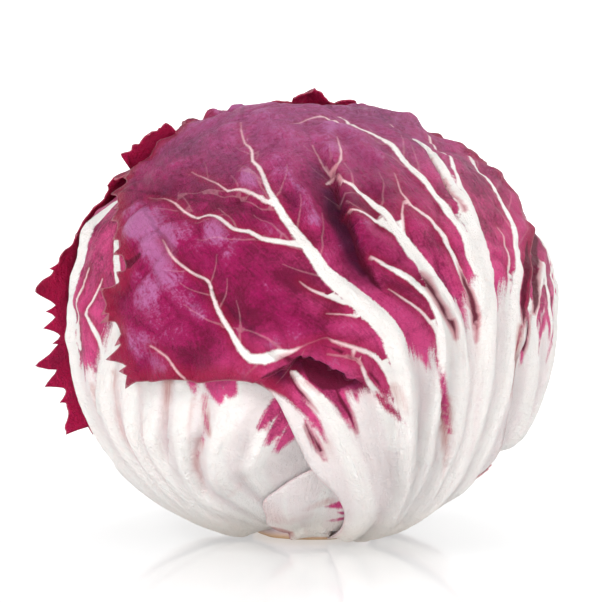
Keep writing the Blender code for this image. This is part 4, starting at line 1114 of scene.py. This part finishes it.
dress(
    grow_leaf("back_left_leaf", back_left_leaf, fan_of_ribs(-128, 32, 7, 60, 1.9, drift=-3.0, seed=32),
              ((-60, -52), (-89, -46), (-98, -30),
               *frayed(((-108, -4), (-125, 6), (-145, 4), (-165, -6), (-185, -8)), 12.0, seed=22)),
              lifts=(FLARED_EDGE, CURLED_EDGE), under=(wrap_leaf, back_leaf), seed=7),
    "leaf_back_left",
)


# The leaf behind on the right goes from under the wrapping leaf's edge round to the back. It is a thin wine
# red blade with a white base on the stem, and has deep folds beside the wrapping leaf.
right_leaf = lay_out(
    (95, -5),
    ((33, -60), (31, -40), (31, -15), (33, 10), (40, 35), (56, 50), (85, 61), (120, 66), (141, 62), (152, 45),
     (155, 20), (155, -10), (152, -40), (148, -60), *foot(145, 36)),
    toothed=((5, 11),), seed=12,
)
dress(
    grow_leaf("right_leaf", right_leaf, fan_of_ribs(94, 44, 8, 58, 2.0, seed=33),
              ((20, -4), (56, -4), (66, -3),
               *frayed(((70, 0), (90, 8), (115, 10), (140, 4), (170, -6)), 13.0, seed=23)),
              veins=(((66, -20, 2.0), (64, -6, 1.8), (65.4, 2, 1.6), (69, 8, 1.3), (75, 14, 1.0)),
                     ((88, -20, 2.0), (86, -6, 1.5), (84, 10, 1.0), (87, 22, 0.8))),
              stains=(((61.0, 9, 1.6), (60.4, 3.2, 1.8), (61.0, -1.4, 1.4), (60.6, -4.8, 1.1),
                       (59.6, -9, 0.2)),
                      ((72, 1, 1.0), (68.4, -3.0, 1.0), (66.4, -7, 0.2)),
                      ((79, 12, 2.6), (77, 5, 2.3), (77.6, -1, 1.8), (75.0, -6.0, 0.7), (73.6, -10.0, 0.2))),
              folds=((((58, -6), (56.5, 2), (60, 10), (63, 18), (66, 24)), -2.2, 4.0, -1.4, 3.4),
                     (((66, 4), (71, 14), (76, 24)), -2.0, 3.4, -1.2, 3.0)),
              swells=((((61, 6), (66, 18)), 0.8, 3.0),), inset=1.1,
              # Creases painted dark as the shade in the folds beside the wrapping leaf.
              creases=(((69, 25.4, 0.3), (65.2, 19, 1.4), (63.0, 14, 1.5), (61.2, 9, 1.2), (59.6, 4, 0.5)),
                       ((86, 26, 0.3), (75, 18, 0.9), (69.6, 12, 1.2), (67.2, 6.4, 0.9), (65.2, 2, 0.2)),
                       ((59.8, 5.4, 0.4), (60.6, 2.0, 1.1), (61.6, -1.6, 1.1), (60.8, -5.6, 0.3)),
                       ((79, 4, 0.1), (78.6, 0, 0.6), (76.4, -5, 0.2))),
              under=(wrap_leaf, back_leaf, base_right_leaf), seed=8),
    "leaf_right",
)


# The left leaf is the pale one under the flap. It is thick and fleshy, with broad white ribs that run down
# to the stem, and the flap and the pleat lie on it.
left_leaf = lay_out(
    (-62, -5),
    ((5, -66), (8, -55), (10, -40), (10, -20), (9, -5), (5, 8), (0, 22), (-8, 38), (-25, 54), (-55, 65),
     (-95, 67), (-120, 60), (-128, 45), (-130, 20), (-130, 0), (-128, -25), (-125, -45), (-122, -62),
     *foot(-118, 3)),
    toothed=((7, 15),), seed=11,
)
LEFT_RIBS = (
    ((-52, -72, 3.0), (-58, -58, 4.0), (-66, -40, 4.5), (-70, -28, 4.6), (-73, -12, 4.4), (-74, 0, 4.2),
     (-75, 12, 3.8), (-78, 25, 2.6), (-80, 35, 1.5), (-82, 43, 0.8), (-85, 50, 0.35), (-88, 57, 0.08)),
    ((-44, -72, 2.6), (-52, -50, 3.0), (-57, -32, 2.8), (-57.5, -18, 2.4), (-55.2, -7, 1.9),
     (-52.8, -0.8, 1.5), (-51.4, 4.2, 1.3), (-52.4, 8.2, 1.2), (-54.6, 14.8, 1.1), (-59.8, 22.6, 0.9),
     (-63.8, 28.8, 0.5)),
    ((-38, -72, 2.6), (-45, -50, 3.0), (-49, -32, 3.0), (-49.5, -16, 2.8), (-48.5, -6, 2.4), (-47, 4, 1.4)),
    ((-34, -72, 2.6), (-39, -50, 3.0), (-42.5, -32, 3.0), (-42, -16, 2.8), (-40.5, -4, 2.2)),
    ((-27, -72, 2.2), (-32, -54, 2.4), (-35.4, -40, 2.4), (-33.5, -26, 2.4), (-32, -16, 2.4),
     (-31.5, -5, 2.0)),
    ((-18, -72, 2.4), (-22, -54, 2.8), (-26, -40, 2.6), (-24, -28, 2.8), (-20.5, -18, 2.8), (-18, -8, 2.2)),
    ((-8, -68, 2.2), (-12, -50, 2.6), (-16, -36, 2.8), (-13, -26, 2.6), (-9, -18, 2.0)),
    ((-66, -70, 2.8), (-78, -50, 3.0), (-87, -26, 3.0), (-91, 0, 2.2), (-92.5, 15, 1.5), (-94.5, 28, 0.9),
     (-97, 40, 0.4), (-101, 52, 0.08)),
)
LEFT_VEINS = (
    ((-62, -20, 0.9), (-59.2, -12, 0.8), (-57.8, -5, 0.7), (-60.8, -1.4, 0.6), (-64.2, 1.2, 0.5),
     (-61.6, 7, 0.4), (-60, 12, 0.2)),
    ((-68, -6, 0.5), (-68, 4, 0.4), (-67, 14, 0.25)),
    ((-47, 14, 0.5), (-48, 22, 0.4), (-50, 30, 0.2)),
)
LEFT_PALE_LINE = ((-135, 5), (-110, 5), (-90, -2), (-78, -4), (-72, -8), (-67, -10), (-62, -9), (-59, -7),
                  (-56, -2), (-52, 3), (-49, -2), (-46, 4), (-40, 2), (-34, -2), (-30, -8), (-27, -7),
                  (-24, -7), (-18, -7), (-12, -4), (-6, -6), (0, -8), (10, -6), (20, -4))
LEFT_STAINS = (
    ((-24.2, -7, 2.6), (-23.4, -10, 2.6), (-22.2, -13.4, 1.3)), ((-20, -7, 2.4), (-19.4, -11.4, 1.7)),
    ((-29.4, -7, 1.3), (-29.2, -10, 1.3), (-28.6, -12.6, 0.5)), ((-48.4, 0, 1.2), (-47.6, -6.5, 0.5)),
    ((-4.4, -10.8, 1.9), (-8.0, -14.6, 2.0), (-12.4, -20.2, 0.9)),
    ((-3.4, -14.4, 1.9), (-6.8, -18.2, 2.0), (-11.2, -24.6, 0.8)),
    ((-2.0, -17.6, 1.4), (-5.0, -21.8, 1.8), (-9.6, -27.8, 0.6)),
    ((-26, -12.8, 0.25), (-26, -18.2, 0.3), (-25.8, -21.4, 0.45), (-28.6, -25.4, 0.3), (-31.0, -30.0, 0.1)),
    ((-61.5, -8, 0.8), (-61.5, -13, 0.2)), ((-66, -8, 0.7), (-66, -13, 0.2)),
)
# Faint brownish-pink streaks along the grooves, partly painted shade.
LEFT_BLUSHES_AND_SHADE = (
    ((-28.4, -25, 1.2, 0.6), (-31.4, -31, 1.0, 0.5), (-32.0, -37.0, 0.8, 0.35), (-33.8, -43.2, 0.8, 0.2)),
    ((-25.8, -13, 1.0, 0.5), (-25.4, -21.4, 1.3, 0.7)),
    ((-28.8, -13.6, 0.8, 0.5), (-29.8, -18.6, 0.8, 0.35), (-31, -24, 0.8, 0.1)),
    ((-35.8, -9, 1.8, 0.8), (-36.6, -14.2, 1.5, 0.6), (-38.4, -22.2, 1.0, 0.25)),
    ((-54.0, -10, 1.2, 0.5), (-54.2, -16.2, 1.0, 0.4), (-54.4, -26, 1.0, 0.3), (-52.8, -35.0, 0.9, 0.2)),
    ((-63, -14, 1.2, 0.5), (-64, -24, 1.2, 0.25)), ((-17.6, -35, 1.0, 0.2), (-26, -44.4, 1.2, 0.3)),
    ((-45.5, -8, 1.0, 0.3), (-46, -22, 1.0, 0.2)),
)
UNDER_PLEAT = (((-11, -6.4), (-6, -4.8), (-1, -4.6), (4, -7.0), (9, -9.4), (13, -11)), -4.6, 10.0)
LEFT_FOLDS = (
    (((-40, -34), (-38.8, -29), (-37, -22), (-35.6, -14), (-35.2, -7)), -1.6, 3.4, 0.5, 2.4),
    (((-34, -44), (-32, -37), (-31.4, -31), (-29.4, -26), (-26.2, -21.4), (-26, -17), (-26, -10)), -1.3, 2.6,
     -1.1, 2.2),
    (((-30, -51), (-26, -44.4), (-22, -39), (-17, -35)), -1.1, 3.0, -1.1, 3.0),
    (((-52.4, -38), (-53.4, -30), (-54.4, -23), (-54, -16), (-53.4, -9)), -1.0, 2.4, -1.0, 3.0),
    (((-64, -28), (-62.6, -20), (-61, -14), (-60, -8)), -1.1, 2.4, 0.3, 2.0),
    (((-46, -42), (-46.4, -28), (-45.6, -16), (-44.6, -7)), -0.9, 2.4, -0.9, 2.4),
    (((-10, -44), (-16, -30), (-16, -20), (-13, -10)), -0.7, 3.0, -0.7, 3.0),
)
dress(
    grow_leaf("left_leaf", left_leaf, LEFT_RIBS, LEFT_PALE_LINE, veins=LEFT_VEINS, folds=LEFT_FOLDS,
              stains=LEFT_STAINS, blushes_and_groove_shade=LEFT_BLUSHES_AND_SHADE, lifts=(UNDER_PLEAT,),
              under=(back_left_leaf, base_front_leaf, wrap_leaf, back_leaf), seed=9, branching=False),
    "leaf_left", finish=leaf_tissue("rosy leaf", 0.9),
)


# The heart is the ball of inner leaves. Nothing of it shows but slivers in the gaps, so its solid stays and
# gets the leaves' wine red.
heart_finish = Finish("heart leaf")
heart_place = heart_finish.place()
heart_clouds = heart_finish.noise(heart_finish.scaled(heart_place, (1.0, 1.0, 0.25)), 0.2, 4.0)
heart_finish.put(heart_finish.shader, {
    "Base Color": heart_finish.coats(DEEP_WINE, (heart_finish.step(heart_clouds, 0.35, 0.65), MAGENTA)),
    "Roughness": 0.4,
    "Normal": heart_finish.bump(heart_finish.noise(heart_place, 1.2, 4.0), 0.0004, 0.6),
})
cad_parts["heart"].data.materials.clear()
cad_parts["heart"].data.materials.append(heart_finish.material)


# The stem is the stub that the knife left, of pale fibrous flesh. Its flat cut face is browned at the rim and
# its short sides are scarred where outer leaves came off. The leaves grow from it.
STEM_HEIGHT = 16.0
STEM_SEGMENTS = 120
STEM_PROFILE = (  # (radius, level) from the middle of the cut face to the middle of the top
    (0.0, 0.0), (2.0, 0.0), (4.0, 0.0), (6.0, 0.0), (8.0, 0.0), (10.0, 0.0), (12.0, 0.0), (13.4, 0.02),
    (14.2, 0.15), (14.8, 0.6), (14.9, 1.4), (14.3, 2.6), (13.6, 3.6), (12.6, 7.0), (11.4, 12.0),
    (10.6, STEM_HEIGHT), (6.0, STEM_HEIGHT + 0.3), (0.0, STEM_HEIGHT + 0.4),
)
rings = []
turn = np.arange(STEM_SEGMENTS) * 2.0 * math.pi / STEM_SEGMENTS
for radius, level in STEM_PROFILE[1:-1]:
    scars = 0.35 * np.sin(5.0 * turn + 1.3 * level) + 0.15 * np.sin(13.0 * turn)
    wide = radius + scars * (1.0 if 0.1 < level < STEM_HEIGHT else 0.0)
    rings.append(np.column_stack([wide * np.cos(turn), wide * np.sin(turn), np.full(STEM_SEGMENTS, level)]))
stem_points = np.vstack([*rings, [[0.0, 0.0, 0.0], [0.0, 0.0, STEM_PROFILE[-1][1]]]]) * MM
stem_faces = []
for i in range(STEM_SEGMENTS):
    j = (i + 1) % STEM_SEGMENTS
    for k in range(len(rings) - 1):
        a, b = k * STEM_SEGMENTS, (k + 1) * STEM_SEGMENTS
        stem_faces.append((a + i, a + j, b + j, b + i))
    stem_faces.append((len(stem_points) - 2, j, i))
    top = (len(rings) - 1) * STEM_SEGMENTS
    stem_faces.append((len(stem_points) - 1, top + i, top + j))
stem_mesh = bpy.data.meshes.new("stem_stub")
stem_mesh.from_pydata(stem_points.tolist(), [], stem_faces)
stem_mesh.shade_smooth()
stem_piece = bpy.data.objects.new("stem_stub", stem_mesh)
bpy.context.collection.objects.link(stem_piece)
CUT_CREAM = (0.700, 0.540, 0.340, 1.0)
CUT_BROWN = (0.330, 0.170, 0.070, 1.0)
stem_finish = Finish("cut stem")
stem_place = stem_finish.place()
stem_level = stem_finish.node("SeparateXYZ", stem_place).outputs[2]
stem_flat = stem_finish.scaled(stem_place, (1.0, 1.0, 0.0))
stem_reach = stem_finish.node("VectorMath", stem_flat, operation="LENGTH").outputs["Value"]
stem_flecks = stem_finish.noise(stem_place, 0.6, 5.0, 0.7)
stem_ring = stem_finish.step(stem_finish.math("MULTIPLY_ADD", stem_flecks, 5.0, stem_reach), 12.5, 17.5)
stem_pith = stem_finish.step(stem_finish.math("MULTIPLY_ADD", stem_flecks, 3.0, stem_reach), 7.5, 5.5)
stem_finish.put(stem_finish.shader, {
    "Base Color": stem_finish.coats(
        CUT_CREAM,
        (stem_finish.times(stem_ring, 0.8), CUT_BROWN),
        (stem_finish.times(stem_pith, 0.35), CUT_BROWN),
        (stem_finish.step(stem_level, 0.3, 2.4), RIB_SHADE_AND_PINK_WHITE),
    ),
    "Roughness": 0.7,
    "Normal": stem_finish.bump(stem_flecks, 0.0005, 0.6),
})
dress(stem_piece, "stem", stem_finish.material)


# The floor is a plain white studio table, glossy enough to show a faint reflection under the head. It glows
# a little by itself, which keeps it as white as in the photo, and less so right under the head.
FLOOR_SIZE = 14.0
FLOOR_GREY = (0.36, 0.36, 0.36, 1.0)
# The smaller glow under the head paints a contact shadow there.
FLOOR_GLOW = 0.43  # under the head
FLOOR_GLOW_MORE = 0.12  # farther out
floor_mesh = bpy.data.meshes.new("floor")
floor_mesh.from_pydata(
    [(x * FLOOR_SIZE, y * FLOOR_SIZE, 0.0) for x, y in ((-0.5, -0.5), (0.5, -0.5), (0.5, 0.5), (-0.5, 0.5))],
    [], [(0, 1, 2, 3)],
)
floor = bpy.data.objects.new("floor", floor_mesh)
bpy.context.collection.objects.link(floor)
floor_finish = Finish("white table")
floor_place = floor_finish.node("TexCoord").outputs["Object"]
away = floor_finish.node("VectorMath", floor_place, operation="LENGTH").outputs["Value"]
# The table glows less right under the head: a painted contact shadow.
farther = floor_finish.step(away, 0.02, 0.08)
floor_finish.put(floor_finish.shader, {
    "Base Color": FLOOR_GREY,
    "Roughness": 0.1,
    "Emission Color": (1.0, 1.0, 1.0, 1.0),
    "Emission Strength": floor_finish.math("MULTIPLY_ADD", farther, FLOOR_GLOW_MORE, FLOOR_GLOW),
})
floor_mesh.materials.append(floor_finish.material)


# The light is a studio's: a white room that is bright at the level of the table and dim above it, and six
# soft boxes, square lights that all face the head. Three of them hang high and three stand low beside it.
ROOM_BRIGHT = 1.7  # at the level of the table
ROOM_DIM = 0.32
room = bpy.data.worlds.new("white room")
room.use_nodes = True
room_tree = room.node_tree
room_way = room_tree.nodes.new("ShaderNodeTexCoord")
room_height = room_tree.nodes.new("ShaderNodeSeparateXYZ")
room_fade = room_tree.nodes.new("ShaderNodeMapRange")
room_tree.links.new(room_way.outputs["Generated"], room_height.inputs[0])
room_tree.links.new(room_height.outputs["Z"], room_fade.inputs["Value"])
for socket, value in (("From Min", 0.10), ("From Max", 0.24), ("To Min", ROOM_BRIGHT), ("To Max", ROOM_DIM)):
    room_fade.inputs[socket].default_value = value
room_tree.links.new(room_fade.outputs["Result"], room_tree.nodes["Background"].inputs["Strength"])
room_tree.nodes["Background"].inputs["Color"].default_value = (1.0, 1.0, 1.0, 1.0)
bpy.context.scene.world = room
HEAD_MIDDLE = Vector((0.0, 0.0, 0.055))
for name, place, size, power in (
    ("key", (-0.75, -0.75, 0.95), 0.42, 8.5),
    ("fill", (1.0, -0.8, 0.45), 0.7, 9.5),
    ("top", (0.1, 0.45, 1.1), 0.8, 5.5),
    ("low front", (-0.15, -1.3, 0.12), 0.7, 13.5),
    ("low left", (-1.25, -0.45, 0.12), 0.6, 8.5),
    ("back right", (0.85, 0.8, 0.8), 0.6, 8.5),
):
    lamp = bpy.data.lights.new(name, "AREA")
    lamp.energy = power
    lamp.size = size
    soft_box = bpy.data.objects.new(name, lamp)
    bpy.context.collection.objects.link(soft_box)
    soft_box.location = place
    soft_box.rotation_euler = (HEAD_MIDDLE - Vector(place)).to_track_quat("-Z", "Y").to_euler()
bpy.context.scene.view_settings.view_transform = "Standard"


# The camera stands where the photographer's did: straight in front of the head and a little above its
# middle, with a long lens.
CAMERA_ELEVATION = 7.0
CAMERA_DISTANCE = 0.8
CAMERA_TARGET = (-0.0027, 0.0, 0.0567)
CAMERA_LENS = 195.8
camera = bpy.data.objects.new("camera", bpy.data.cameras.new("camera"))
bpy.context.collection.objects.link(camera)
tilt = math.radians(CAMERA_ELEVATION)
camera.location = Vector(CAMERA_TARGET) + CAMERA_DISTANCE * Vector((0.0, -math.cos(tilt), math.sin(tilt)))
camera.rotation_euler = (math.radians(90.0) - tilt, 0.0, 0.0)
camera.data.lens = CAMERA_LENS
camera.data.clip_end = 30.0
bpy.context.scene.camera = camera
